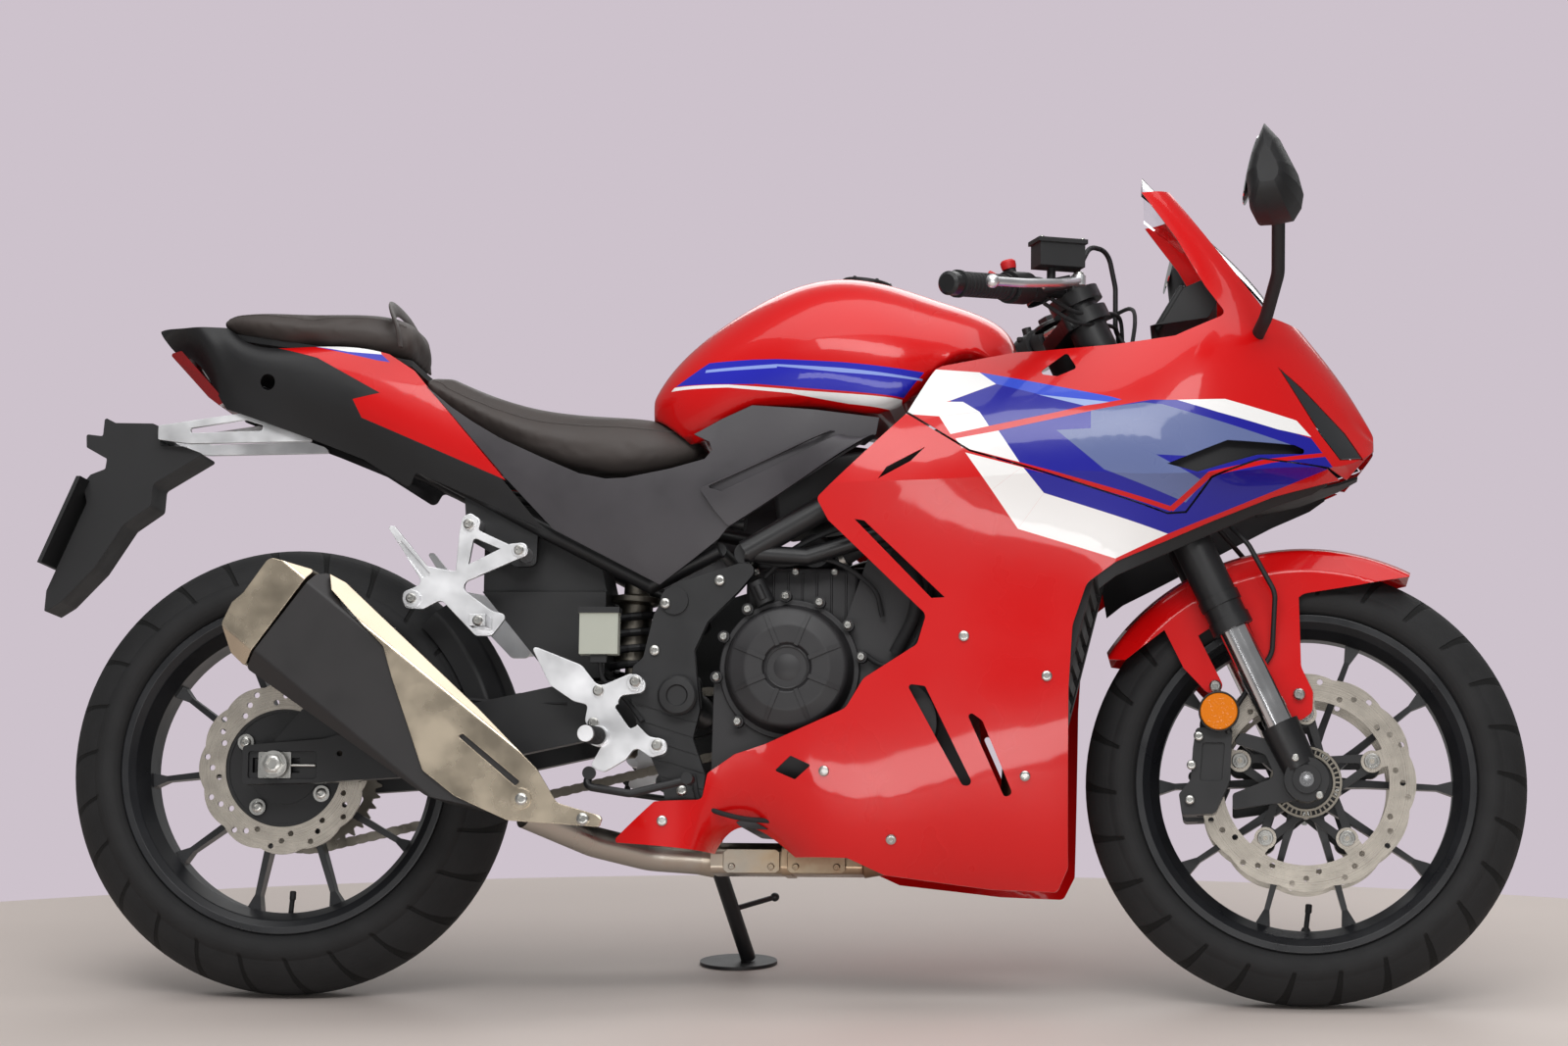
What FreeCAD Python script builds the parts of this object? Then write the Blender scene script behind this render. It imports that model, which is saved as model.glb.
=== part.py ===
import FreeCAD, Part
import math
import os

os.makedirs("parts", exist_ok=True)
V = FreeCAD.Vector

# The machine is drawn upright: X forward, Y to its left, Z up, with the origin on the
# floor line midway between the wheels. At the end every solid gets the same lean, so
# that both tyres and the side stand's foot rest on z = 0.

# driving sizes, in mm and degrees
lean = 12.0
wheelbase = 1410.0
rake = 25.5
trail = 102.0
fork_spacing = 202.0

# wheels: the tyre's seat on the rim, and what lies inside and outside it
seat_r = 220.8
flange_h = 9.7
well_depth = 21.8
front_section = 79.2
rear_section = 91.2
front_tyre_r = seat_r + front_section
rear_tyre_r = seat_r + rear_section
flange_r = seat_r + flange_h
barrel_r = seat_r - well_depth
front_crown_r = 60.0
rear_crown_r = 80.0
front_rim_half = 52.0
rear_rim_half = 70.0
front_hub_half = 48.0
rear_hub_half = 52.0
spoke_pairs = 5
spoke_spread = 19.0
front_spoke_turn = 0.0
rear_spoke_turn = -3.0

# axles, discs and bearings
axle_r = 10.0
axle_bore_r = 6.0
axle_bore_depth = 28.0
hub_clear = 0.05
front_disc_y = 62.0
rear_disc_y = 66.0
disc_t = 4.5
front_disc_r = 148.0
front_disc_in = 112.0
rear_disc_r = 120.0
rear_disc_in = 82.0
disc_lobes = 12
disc_hole_r = 4.0
bobbin_ring_r = 93.5
bobbin_ring_w = 15.0
rear_bolt_ring_r = 65.0
fender_half = 71.5

# threaded holes in the swingarm that take a paddock stand's bobbins
bobbin_x, bobbin_z = -615.0, 330.0
bobbin_r = 4.0

# chain drive
chain_y = 93.0
pitch = 15.875
rear_teeth = 41
front_teeth = 15
front_gear = V(-52, 0, 402)
chain_w = 13.0
tooth_t = 6.0
tooth_h = 4.0

# frame, fork and swingarm
pivot_x, pivot_z = -142.0, 407.0
pivot_r = 10.0
arm_in, arm_out = 101.0, 121.0
outer_tube_r = 27.0
inner_tube_r = 20.5
head_bore_r = 13.6
stem_r = 13.0
bar_r = 11.0
hose_r = 3.5

# bodywork
gap = 0.3
panel_t = 3.0
silencer_in, silencer_out = -150.0, -262.0

# side stand
stand_pivot = V(-140, 169, 240)
stand_foot_x, stand_foot_y = -92.0, 285.0
stand_axis = V(-0.012, 0.83, 0.558).normalize()
stand_bolt_r = 6.0
row_x, row_y = 28.877, -206.163


def axle_height(radius, crown):
    return radius - crown + crown / math.cos(math.radians(lean))


front_axle = V(wheelbase / 2, 0, axle_height(front_tyre_r, front_crown_r))
rear_axle = V(-wheelbase / 2, 0, axle_height(rear_tyre_r, rear_crown_r))
steer_dir = V(-math.sin(math.radians(rake)), 0, math.cos(math.radians(rake)))
# how far the steering axis lies behind the fork legs, square to them
steer_back = front_axle.z * math.sin(math.radians(rake)) - trail * math.cos(math.radians(rake))
leg_y = fork_spacing / 2


# small helpers

def save(name, shape):
    out = shape.copy()
    turn = FreeCAD.Placement(V(row_x, row_y, 0), FreeCAD.Rotation(V(1, 0, 0), -lean))
    out.Placement = turn.multiply(out.Placement)
    out.exportStep("parts/" + name + ".step")


def box(x0, x1, y0, y1, z0, z1):
    return Part.makeBox(x1 - x0, y1 - y0, z1 - z0, V(x0, y0, z0))


def rod(a, b, r):
    line = b - a
    return Part.makeCylinder(r, line.Length, a, line)


def cone(a, b, r0, r1):
    line = b - a
    return Part.makeCone(r0, r1, line.Length, a, line)


def pipe_of(a, b, r, hole):
    return rod(a, b, r).cut(rod(a, b, hole))


def disc(x, z, y0, y1, r):
    return Part.makeCylinder(r, y1 - y0, V(x, y0, z), V(0, 1, 0))


def ring(x, z, y0, y1, r, hole):
    return disc(x, z, y0, y1, r).cut(disc(x, z, y0 - 1, y1 + 1, hole))


def rounded(points, place):
    """A closed wire through the points; a third value gives that corner a radius."""
    corners = []
    count = len(points)
    for i, point in enumerate(points):
        p = place(*point[:2])
        r = point[2] if len(point) > 2 else 0.0
        if not r:
            corners.append((p, None, p))
            continue
        a = (place(*points[i - 1][:2]) - p).normalize()
        b = (place(*points[(i + 1) % count][:2]) - p).normalize()
        half = a.getAngle(b) / 2
        back = r / math.tan(half)
        mid = p + (a + b).normalize() * (r / math.sin(half) - r)
        corners.append((p + a * back, mid, p + b * back))
    edges = []
    for i, (start, mid, end) in enumerate(corners):
        if mid is not None:
            edges.append(Part.Arc(start, mid, end).toShape())
        following = corners[(i + 1) % count][0]
        if (following - end).Length > 0.01:
            edges.append(Part.makeLine(end, following))
    return Part.Wire(edges)


def upright(shape):
    """The same solid with its faces turned outward."""
    if shape.Volume < 0:
        shape.reverse()
    return shape


def plate(points, y0, y1):
    """A flat outline in side view, given as (x, z) or (x, z, radius), solid from y0 to y1."""
    wire = rounded(points, lambda x, z: V(x, y0, z))
    return upright(Part.Face(wire).extrude(V(0, y1 - y0, 0)))


def slab(points, x0, x1):
    """A flat outline in front view, given as (y, z) or (y, z, radius), from x0 to x1."""
    wire = rounded(points, lambda y, z: V(x0, y, z))
    return Part.Face(wire).extrude(V(x1 - x0, 0, 0))


def mirror(shape):
    return shape.mirror(V(0, 0, 0), V(0, 1, 0))


def both(shape):
    return shape.fuse(mirror(shape))


def pair(shape):
    """The piece of the left side and its mirror image, as two solids of one node."""
    return Part.makeCompound([shape, mirror(shape)])


def run_of(points, bend):
    """A path of straight runs joined by arcs of about the given radius."""
    edges = []
    last = points[0]
    for a, p, b in zip(points, points[1:], points[2:]):
        u = (a - p).normalize()
        w = (b - p).normalize()
        half = u.getAngle(w) / 2
        back = min(bend / math.tan(half), 0.45 * (a - p).Length, 0.45 * (b - p).Length)
        r = back * math.tan(half)
        mid = p + (u + w).normalize() * (r / math.sin(half) - r)
        edges.append(Part.makeLine(last, p + u * back))
        edges.append(Part.Arc(p + u * back, mid, p + w * back).toShape())
        last = p + w * back
    edges.append(Part.makeLine(last, points[-1]))
    return Part.Wire(edges)


def bent(points, bend, r):
    """A round bar along straight runs and arcs."""
    circle = Part.Wire(Part.makeCircle(r, points[0], points[1] - points[0]))
    return run_of(points, bend).makePipeShell([circle], True, False)


def around(shape, at, count, first=0.0):
    out = None
    for i in range(count):
        piece = shape.copy()
        piece.rotate(at, V(0, 1, 0), first + 360.0 * i / count)
        out = piece if out is None else out.fuse(piece)
    return out


def polar(at, r, degrees, y=0.0):
    """A point at a radius and an angle about an axle; 0 points up and 90 forward."""
    a = math.radians(degrees)
    return V(at.x + r * math.sin(a), y, at.z + r * math.cos(a))


def spin(profile, at):
    """Turn a closed (y, r) profile about the wheel's axle."""
    wire = rounded(profile, lambda y, r: V(at.x, y, at.z + r))
    return Part.Face(wire).revolve(at, V(0, 1, 0), 360)


def one(shape):
    return shape.removeSplitter()


def largest(shape):
    return max(shape.Solids, key=lambda part: part.Volume)


def leg_point(s, y=0.0, back=0.0):
    """A point s mm up the fork leg from the axle, moved back square to the leg."""
    across = V(-math.cos(math.radians(rake)), 0, -math.sin(math.radians(rake)))
    return front_axle + steer_dir * s + across * back + V(0, y, 0)


# wheels

def tyre(at, radius, crown, half, bulge):
    """A tyre with a round crown, bulged walls and beads that sit in the rim."""
    bead = half - 6.5
    top = radius - crown
    a = math.radians(64)
    right = V(at.x, crown * math.sin(a), at.z + top + crown * math.cos(a))
    left = V(at.x, -right.y, right.z)
    crest = V(at.x, 0, at.z + radius)
    lip = V(0, 0, flange_r + 0.8)
    rim_l = V(at.x, -bead - 1.5, at.z) + lip
    rim_r = V(at.x, bead + 1.5, at.z) + lip
    foot_l = V(at.x, -bead + 0.8, at.z + seat_r + gap)
    foot_r = V(at.x, bead - 0.8, at.z + seat_r + gap)
    mid_z = (rim_r.z + right.z) / 2
    edges = [
        Part.Arc(left, crest, right).toShape(),
        Part.Arc(right, V(at.x, bulge, mid_z), rim_r).toShape(),
        Part.makeLine(rim_r, foot_r),
        Part.makeLine(foot_r, foot_l),
        Part.makeLine(foot_l, rim_l),
        Part.Arc(rim_l, V(at.x, -bulge, mid_z), left).toShape(),
    ]
    return Part.Face(Part.Wire(edges)).revolve(at, V(0, 1, 0), 360)


def spoke(at, side, hub_r, foot_r):
    """One of a pair: a slim web that leaves the hub beside its twin and spreads at the rim."""
    root = polar(at, hub_r - 5, side * 9)
    tip = polar(at, foot_r, side * spoke_spread)
    along = (tip - root).normalize()
    across = V(along.z, 0, -along.x)
    length = (tip - root).Length
    wires = []
    for share, wide, deep in ((0, 8, 19), (0.3, 5, 16), (0.86, 3.8, 13), (1, 11, 15)):
        p = root + along * (length * share)
        ends = [p + across * (wide * s) + V(0, deep * t, 0) for s, t in ((-1, -1), (1, -1), (1, 1), (-1, 1))]
        wires.append(Part.makePolygon(ends + [ends[0]]))
    return Part.makeLoft(wires, True, True)


def rim(at, half, hub_half, hub_r, turn):
    barrel = spin([
        (-half, seat_r, 1), (-half, flange_r, 1.5), (-half + 4, flange_r, 1.5), (-half + 6.5, seat_r),
        (half - 6.5, seat_r), (half - 4, flange_r, 1.5), (half, flange_r, 1.5), (half, seat_r, 1),
        (half - 9, seat_r - 10, 6), (half * 0.4, barrel_r, 6), (-half * 0.4, barrel_r, 6),
        (-half + 9, seat_r - 10, 6)], at)
    twin = spoke(at, -1, hub_r, barrel_r + 3).fuse(spoke(at, 1, hub_r, barrel_r + 3))
    spokes = around(twin, at, spoke_pairs, turn)
    hub = disc(at.x, at.z, -hub_half, hub_half, hub_r)
    bore = disc(at.x, at.z, -hub_half - 1, hub_half + 1, axle_r + hub_clear)
    return one(barrel.fuse([spokes, hub]).cut(bore))


def wavy(at, y, radius, depth, lobes):
    """A disc with a scalloped edge, from arcs that rise to the radius once a lobe."""
    step = 360.0 / lobes
    edges = []
    for i in range(lobes):
        a = polar(at, radius - depth, (i - 0.5) * step, y)
        m = polar(at, radius, i * step, y)
        b = polar(at, radius - depth, (i + 0.5) * step, y)
        edges.append(Part.Arc(a, m, b).toShape())
    return Part.Face(Part.Wire(edges)).extrude(V(0, disc_t, 0))


def brake_disc(at, y, radius, inner):
    """A scalloped rotor with three slanting rows of drilled holes to each lobe."""
    start = y - disc_t / 2
    body = wavy(at, start, radius, 4.5, disc_lobes)
    body = body.cut(disc(at.x, at.z, start - 1, start + disc_t + 1, inner))
    step = 360.0 / disc_lobes
    holes = []
    band = radius - inner
    for i in range(disc_lobes):
        for share, turn in ((0.26, -8), (0.5, 0), (0.72, 8)):
            p = polar(at, inner + band * share, i * step + turn, 0)
            holes.append(disc(p.x, p.z, start - 1, start + disc_t + 1, disc_hole_r))
    return body.cut(holes)


def front_rotor():
    """The front rotor keeps five tabs inward, each over one bobbin of its carrier."""
    body = brake_disc(front_axle, front_disc_y, front_disc_r, front_disc_in)
    lo, hi = front_disc_y - disc_t / 2, front_disc_y + disc_t / 2
    tab = disc(front_axle.x, front_axle.z + bobbin_ring_r, lo, hi, bobbin_ring_w)
    neck = box(front_axle.x - 12, front_axle.x + 12, lo, hi, front_axle.z + bobbin_ring_r,
               front_axle.z + front_disc_in + 2)
    return one(body.fuse(around(tab.fuse(neck), front_axle, 5, 0)))


def front_carrier():
    """The black centre of a front disc: a hub ring and five open A-shaped arms."""
    at = front_axle
    hi = front_disc_y - disc_t / 2 - gap / 3
    lo = hi - 6
    tip = at.z + bobbin_ring_r
    arm = plate([(at.x - 27, at.z + 32), (at.x + 27, at.z + 32), (at.x + 11, tip), (at.x - 11, tip)], lo, hi)
    hole = plate([(at.x - 13, at.z + 47, 3), (at.x + 13, at.z + 47, 3), (at.x + 3.5, tip - 17, 2),
                  (at.x - 3.5, tip - 17, 2)], lo - 1, hi + 1)
    arm = arm.cut(hole).fuse(disc(at.x, tip, lo, hi, bobbin_ring_w - 1))
    body = disc(at.x, at.z, lo, hi, 44).fuse(around(arm, at, 5, 0))
    spacer = disc(at.x, at.z, front_hub_half + gap, lo + 0.1, 40)
    return one(body.fuse(spacer).cut(disc(at.x, at.z, front_hub_half - 5, hi + 1, axle_r + 4)))


def front_wheel():
    save("front_tyre", tyre(front_axle, front_tyre_r, front_crown_r, front_rim_half, 60.5))
    save("front_rim", rim(front_axle, front_rim_half, front_hub_half, 34, front_spoke_turn))
    save("front_discs", pair(front_rotor()))
    save("front_disc_hubs", pair(front_carrier()))


def rear_carrier():
    """The rear disc's carrier is a dished plate with four bolts to the rotor."""
    at = rear_axle
    hi = rear_disc_y - disc_t / 2 - gap / 3
    plate_lo = hi - 5
    body = disc(at.x, at.z, plate_lo, hi, rear_disc_in + 6)
    body = body.cut(disc(at.x, at.z, hi - 2, hi + 1, rear_disc_in - 4).cut(disc(at.x, at.z, hi - 3, hi + 2, 50)))
    boss = disc(at.x, at.z + rear_bolt_ring_r, hi - 3, hi + 1.5, 9)
    body = body.fuse(around(boss, at, 4, 33))
    spacer = disc(at.x, at.z, rear_hub_half + gap, plate_lo + 0.1, 46)
    return one(body.fuse(spacer).cut(disc(at.x, at.z, rear_hub_half - 5, hi + 4, axle_r + 4)))


def sprocket(at, teeth, lo, hi):
    """A toothed wheel whose tooth spaces match the chain's rollers."""
    pitch_r = pitch / math.sin(math.pi / teeth) / 2
    points = []
    for i in range(teeth):
        for turn, r in ((-0.32, pitch_r - 4.6), (-0.18, pitch_r), (-0.07, pitch_r + tooth_h),
                        (0.07, pitch_r + tooth_h), (0.18, pitch_r), (0.32, pitch_r - 4.6)):
            p = polar(at, r, 360.0 * (i + turn) / teeth)
            points.append((p.x, p.z))
    return plate(points, lo, hi)


def rear_wheel():
    at = rear_axle
    save("rear_tyre", tyre(at, rear_tyre_r, rear_crown_r, rear_rim_half, 81))
    save("rear_rim", rim(at, rear_rim_half, rear_hub_half, 44, rear_spoke_turn))
    save("rear_disc", mirror(brake_disc(at, rear_disc_y, rear_disc_r, rear_disc_in)))
    save("rear_disc_hub", mirror(rear_carrier()))
    wheel = sprocket(at, rear_teeth, chain_y - tooth_t / 2, chain_y + tooth_t / 2)
    hole = plate([(at.x - 13, at.z + 64, 6), (at.x + 13, at.z + 64, 6), (at.x + 17, at.z + 86, 6),
                  (at.x - 17, at.z + 86, 6)], chain_y - 9, chain_y + 9)
    wheel = wheel.cut(around(hole, at, 6))
    cush = disc(at.x, at.z, rear_hub_half + gap, chain_y - tooth_t / 2 + 0.1, 52)
    bore = disc(at.x, at.z, rear_hub_half - 5, chain_y + 9, axle_r + 4)
    save("rear_sprocket", one(wheel.fuse(cush).cut(bore)))


# fork and steering

caliper_outline = [
    (557, 372, 6), (606, 372, 6), (603, 302, 8), (583, 256, 8), (538, 254, 6), (534, 282, 6),
    (550, 302, 6), (553, 345, 4)]


def fork_foot():
    """The lower end of a fork leg, with its axle boss and the two arms to the caliper."""
    y = leg_y
    tube = cone(leg_point(20, y), leg_point(84 - gap, y), 24, 26.5)
    boss = disc(front_axle.x, front_axle.z, y - 16, y + 19, 30)
    lip = disc(front_axle.x, front_axle.z, y + 10, y + 23, 19)
    arms = plate([(718, 330, 10), (672, 352, 8), (618, 366, 6), (608, 352, 4), (650, 336, 8), (664, 306, 10),
                  (606, 283, 6), (606, 262, 4), (690, 274, 14), (735, 285, 10)], y - 13, y - 1)
    body = tube.fuse([boss, lip, arms])
    body = body.fuse(rod(leg_point(4, y), leg_point(22, y), 22))
    body = body.cut(disc(front_axle.x, front_axle.z, y - 40, y + 40, axle_r + gap / 3))
    return one(body.cut(plate(caliper_outline, 40, y + 5)))


def fork():
    y = leg_y
    save("fork_tubes", pair(rod(leg_point(84, y), leg_point(226, y), inner_tube_r)))
    outer = rod(leg_point(226 + gap, y), leg_point(738, y), outer_tube_r)
    seal = rod(leg_point(226 + gap, y), leg_point(243, y), outer_tube_r + 2)
    collar = rod(leg_point(262, y), leg_point(276, y), outer_tube_r + 2)
    cap = rod(leg_point(738, y), leg_point(750, y), 20)
    save("fork_sleeves", pair(one(outer.fuse([seal, collar, cap]))))
    save("fork_feet", pair(fork_foot()))
    reach = leg_y + 16.5
    axle = rod(front_axle - V(0, reach, 0), front_axle + V(0, reach, 0), axle_r)
    mouth = front_axle - V(0, reach + 0.5, 0)
    save("front_axle", axle.cut(rod(mouth, front_axle - V(0, reach - axle_bore_depth + 0.5, 0), axle_bore_r)))


def yoke(s, thick, front, back):
    corners = [(front, -leg_y + 4), (front, leg_y - 4), (-back * 0.4, leg_y + 38), (-back, 30),
               (-back, -30), (-back * 0.4, -leg_y - 38)]
    wire = rounded([(x, y, 8) for x, y in corners], lambda x, y: leg_point(s, y, -x))
    body = upright(Part.Face(wire).extrude(steer_dir * thick))
    for y in (-leg_y, leg_y):
        body = body.fuse(rod(leg_point(s, y), leg_point(s, y) + steer_dir * thick, outer_tube_r + 9))
    for y in (-leg_y, leg_y):
        body = body.cut(rod(leg_point(s - 5, y), leg_point(s + thick + 5, y), outer_tube_r + gap / 3))
    return body


def steering_stem():
    """Both yokes on their stem, which turns inside the frame's head tube."""
    low = yoke(505, 34, 26, 62)
    top = yoke(688, 20, 26, 62)
    stem = rod(leg_point(510, 0, steer_back), leg_point(715, 0, steer_back), stem_r)
    nut = rod(leg_point(708, 0, steer_back), leg_point(718, 0, steer_back), 18)
    save("yokes", one(low.fuse([top, stem, nut])))


def brake_hoses():
    """The hose from the brake lever to a union on the lower yoke, and one from there to each caliper."""
    upper = bent([V(366, 184, 966), V(392, 150, 982), V(412, 108, 1034), V(436, 74, 1034), V(446, 60, 985),
                  V(446, 58, 925), V(492, 54, 850), V(531, 50, 772), V(532, 50, 764)], 30, hose_r)
    lower = bent([V(532, 50, 765), V(566, 66, 690), V(628, 100, 622), V(664, 100, 556), V(660, 75.9, 476),
                  V(612, 75.9, 404), V(591, 84, 375)], 30, hose_r)
    union = rod(V(531, -54, 765), V(531, 54, 765), 6)
    return upper.fuse([lower, mirror(lower), union])


def controls():
    """The left side's clip-on bar and what it carries; the right side is its mirror."""
    root = leg_point(742, leg_y)
    start = V(root.x - 10, root.y + 22, root.z - 2)
    end = V(238, 372, 932)
    way = (end - start).normalize()
    total = (end - start).Length

    def back(mm):
        return start + way * (total - mm)

    clamp = rod(leg_point(718, leg_y), leg_point(737, leg_y), 37)
    clamp = clamp.cut(rod(leg_point(700, leg_y), leg_point(760, leg_y), outer_tube_r + gap / 3))
    tube = rod(start + way * 5, back(12), bar_r)
    tip = rod(back(13), back(-4), 16).fuse(cone(back(-4), back(-8), 16, 12))
    save("handlebars", pair(one(clamp.fuse([tube, tip]))))
    grip = rod(back(140), back(13 + gap), 16)
    for mm in (138, 22):
        grip = grip.fuse(rod(back(mm), back(mm - 6), 18.5))
    save("grips", pair(one(grip.cut(rod(back(141), back(10), bar_r + gap / 3)))))
    switch = rod(back(190), back(141), 22)
    pod = box(-22, 18, -26, 20, -14, 26)
    pod.Placement = FreeCAD.Placement(back(164), FreeCAD.Rotation(V(0, 1, 0), way))
    switch = switch.common(pod.fuse(rod(back(184), back(146), 24)))
    knob = rod(back(164), back(164) + V(-8, 0, 30), 7)
    switch = one(switch.fuse(knob).cut(rod(start, end, bar_r + gap / 3)))
    lift = V(52, 0, 10)
    hold = rod(back(222), back(194), 17).fuse(rod(back(208), back(208) + lift, 9))
    hold = hold.cut(rod(start, end, bar_r + gap / 3))
    cup_at = back(212) + V(34, 0, 38)
    post = rod(back(210) + V(24, 0, 2), back(210) + V(24, 0, 36), 6)
    cup = box(-34, 30, -20, 20, -10, 22)
    cup = cup.fuse(box(-37, 33, -23, 23, 22, 28))
    cup.Placement = FreeCAD.Placement(cup_at, FreeCAD.Rotation(V(0, 0, 1), -22))
    save("bar_controls", Part.makeCompound([switch, mirror(switch), one(hold), mirror(one(hold.fuse([post, cup, brake_hoses()])))]))
    pivot = back(208) + V(54 + 9, 0, 11)
    near = pivot + way * 70 + V(10, 0, -6)
    far = pivot + way * 150 + V(2, 0, -9)
    tip_at = pivot + way * 195 + V(-14, 0, -8)
    blade = bent([pivot, near, far, tip_at], 60, 6)
    blade = blade.fuse([rod(pivot - V(0, 0, 7), pivot + V(0, 0, 7), 9), Part.makeSphere(9, tip_at)])
    save("hand_levers", pair(one(blade)))


# frame, engine and swingarm

def chain_of_bars(points, r):
    """Straight round tubes from point to point with round joints."""
    out = rod(points[0], points[1], r)
    for a, b in zip(points[1:], points[2:]):
        out = out.fuse(Part.makeSphere(r, a)).fuse(rod(a, b, r))
    return out


def frame():
    head = pipe_of(leg_point(545, 0, steer_back), leg_point(683, 0, steer_back), 30, head_bore_r)
    tubes = []
    for sign in (-1, 1):
        knee = V(-55, sign * 142, 605)
        tubes.append(chain_of_bars([leg_point(640, sign * 14, steer_back), V(325, sign * 40, 838),
                                    V(235, sign * 132, 775), knee], 17))
        tubes.append(chain_of_bars([leg_point(590, sign * 14, steer_back), V(325, sign * 40, 745),
                                    V(240, sign * 134, 665), V(30, sign * 138, 600), knee], 12))
    cross = rod(V(-55, -142, 605), V(-55, 142, 605), 15)
    bore = rod(leg_point(500, 0, steer_back), leg_point(720, 0, steer_back), head_bore_r)
    save("main_frame", one(head.fuse(tubes + [cross]).cut(bore)))


def pivot_plate():
    """One cast plate of the frame, with its bosses and the grooves of its lower half."""
    body = plate([(-30, 589.6, 10), (-62, 589.6, 12), (-155, 560, 14), (-178, 520, 12), (-192, 460, 10),
                  (-206, 448, 8), (-207, 400, 10), (-198, 366, 12), (-163, 290, 12), (-158, 262, 12),
                  (-132, 248, 16), (-108, 266, 12), (-104, 300, 12), (-122, 350, 12), (-113, 388, 12),
                  (-122, 470, 14), (-104, 510, 16), (-62, 552, 16)], 134, 150)
    body = body.fuse([disc(pivot_x, pivot_z, 134, 156, 24), disc(-150, 538, 134, 154, 19),
                      disc(-133, 268, 134, 154, 17)])
    for i in range(5):
        z = 385 - 22 * i
        body = body.cut(plate([(-215, z + 18), (-100, z - 18), (-100, z - 21), (-215, z + 15)], 148.5, 151)
                        .cut(disc(pivot_x, pivot_z, 130, 160, 27)))
    return body.cut(disc(pivot_x, pivot_z, 130, 160, pivot_r + hub_clear))


def pivot_plates():
    side = pivot_plate()
    cross = rod(V(-160, -134, 292), V(-160, 134, 292), 14)
    upper = rod(V(-150, -134, 536), V(-150, 134, 536), 14)
    lug = plate([(-166, 270), (-112, 275), (-116, 222, 8), (-135, 212, 8), (-158, 218, 8)], 134, 150)
    ear = rod(stand_pivot - stand_axis * 36, stand_pivot - stand_axis * 8.3, 17)
    bolt = rod(stand_pivot - stand_axis * 20, stand_pivot + stand_axis * 9, stand_bolt_r)
    head = rod(stand_pivot + stand_axis * 8.3, stand_pivot + stand_axis * 13, 10)
    save("pivot_plates", one(side.fuse([mirror(side), cross, upper, lug, ear, bolt, head])))
    save("pivot_bolt", rod(V(pivot_x, -164, pivot_z), V(pivot_x, 164, pivot_z), pivot_r))


def seat_rails():
    runs = []
    for sign in (-1, 1):
        runs.append(chain_of_bars([V(-92, sign * 120, 612), V(-190, sign * 98, 566),
                                   V(-400, sign * 86, 674), V(-530, sign * 84, 742),
                                   V(-770, sign * 60, 848)], 12))
        runs.append(chain_of_bars([V(-60, sign * 100, 650), V(-260, sign * 88, 690),
                                   V(-500, sign * 88, 728)], 10))
        tab = plate([(-455, 700), (-350, 648), (-352, 594, 8), (-380, 592, 8), (-450, 632, 8)], 80, 92)
        runs.append(tab if sign > 0 else mirror(tab))
    for x, y, z in ((-530, 84, 742), (-770, 60, 848), (-260, 88, 690), (-92, 120, 612)):
        runs.append(rod(V(x, -y, z), V(x, y, z), 9))
    save("seat_rails", one(runs[0].fuse(runs[1:])))


clutch_at = V(6, 0, 447)
clutch_r = 88.0
clutch_y = 118.0


def engine():
    case = plate([(-100, 300, 14), (-60, 232, 14), (60, 224, 10), (210, 228, 14), (258, 300, 20),
                  (250, 420, 14), (190, 452, 8), (60, 470, 8), (-60, 500, 14), (-98, 430, 14)], -clutch_y, clutch_y)
    block = plate([(55, 440), (190, 440), (252, 590, 8), (124, 642, 8)], -110, 110)
    room = disc(front_gear.x, front_gear.z, chain_y - 9, 120, 52)
    run = plate([(-110, 330), (front_gear.x, 345), (front_gear.x, 455), (-110, 470)], chain_y - 9, 120)
    split = plate([(60, 470), (200, 470), (200, 474), (60, 474)], -108, 108)
    lid = plate([(112, 640), (264, 586), (270, 604, 10), (118, 660, 10)], -98, 98)
    body = case.fuse([block, lid]).cut(room.fuse(run))
    body = body.cut(block_grooves(split))
    save("engine", one(body.cut(pair(skin(stations, 1, [5], 0.8, panel_t + 1.6)))))


def block_grooves(first):
    """Two joint lines across the cylinder block, cut 2 mm deep round its sides."""
    second = first.copy()
    second.translate(V(24, 0, 62))
    inner = box(-300, 400, -106, 106, 200, 700)
    return both(first.fuse(second)).cut(inner)


def clutch_cover():
    """The round cover on the right: a flange with bolt bosses, a dished lid and eight ribs."""
    at = clutch_at
    top = clutch_y + gap
    cover = spin([(top, 12), (top, clutch_r + 8), (top + 7, clutch_r + 8, 2), (top + 7, clutch_r, 2),
                  (top + 34, clutch_r - 6, 10), (top + 42, clutch_r - 30, 12), (top + 42, 34, 2),
                  (top + 38, 31, 2), (top + 38, 12)], at)
    cover = cover.fuse(disc(at.x, at.z, top, top + 36, 20))
    rib = box(at.x - 3, at.x + 3, top + 20, top + 44.5, at.z + 32, at.z + clutch_r - 10)
    ribs = around(rib, at, 8, 22)
    limit = spin([(top, 0), (top, clutch_r - 1), (top + 34, clutch_r - 5, 10), (top + 44, clutch_r - 30, 8),
                  (top + 44, 0)], at)
    cover = cover.fuse(ribs.common(limit))
    for x, z in ((-61, 542), (0, 554), (49, 543), (88, 508), (114, 465), (-66, 372), (-98, 435), (-104, 501)):
        away = V(x - at.x, 0, z - at.z)
        away = away * (min(away.Length, clutch_r + 12) / away.Length)
        cover = cover.fuse(disc(at.x + away.x, at.z + away.z, top, top + 16, 8))
    return mirror(one(cover))


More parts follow.
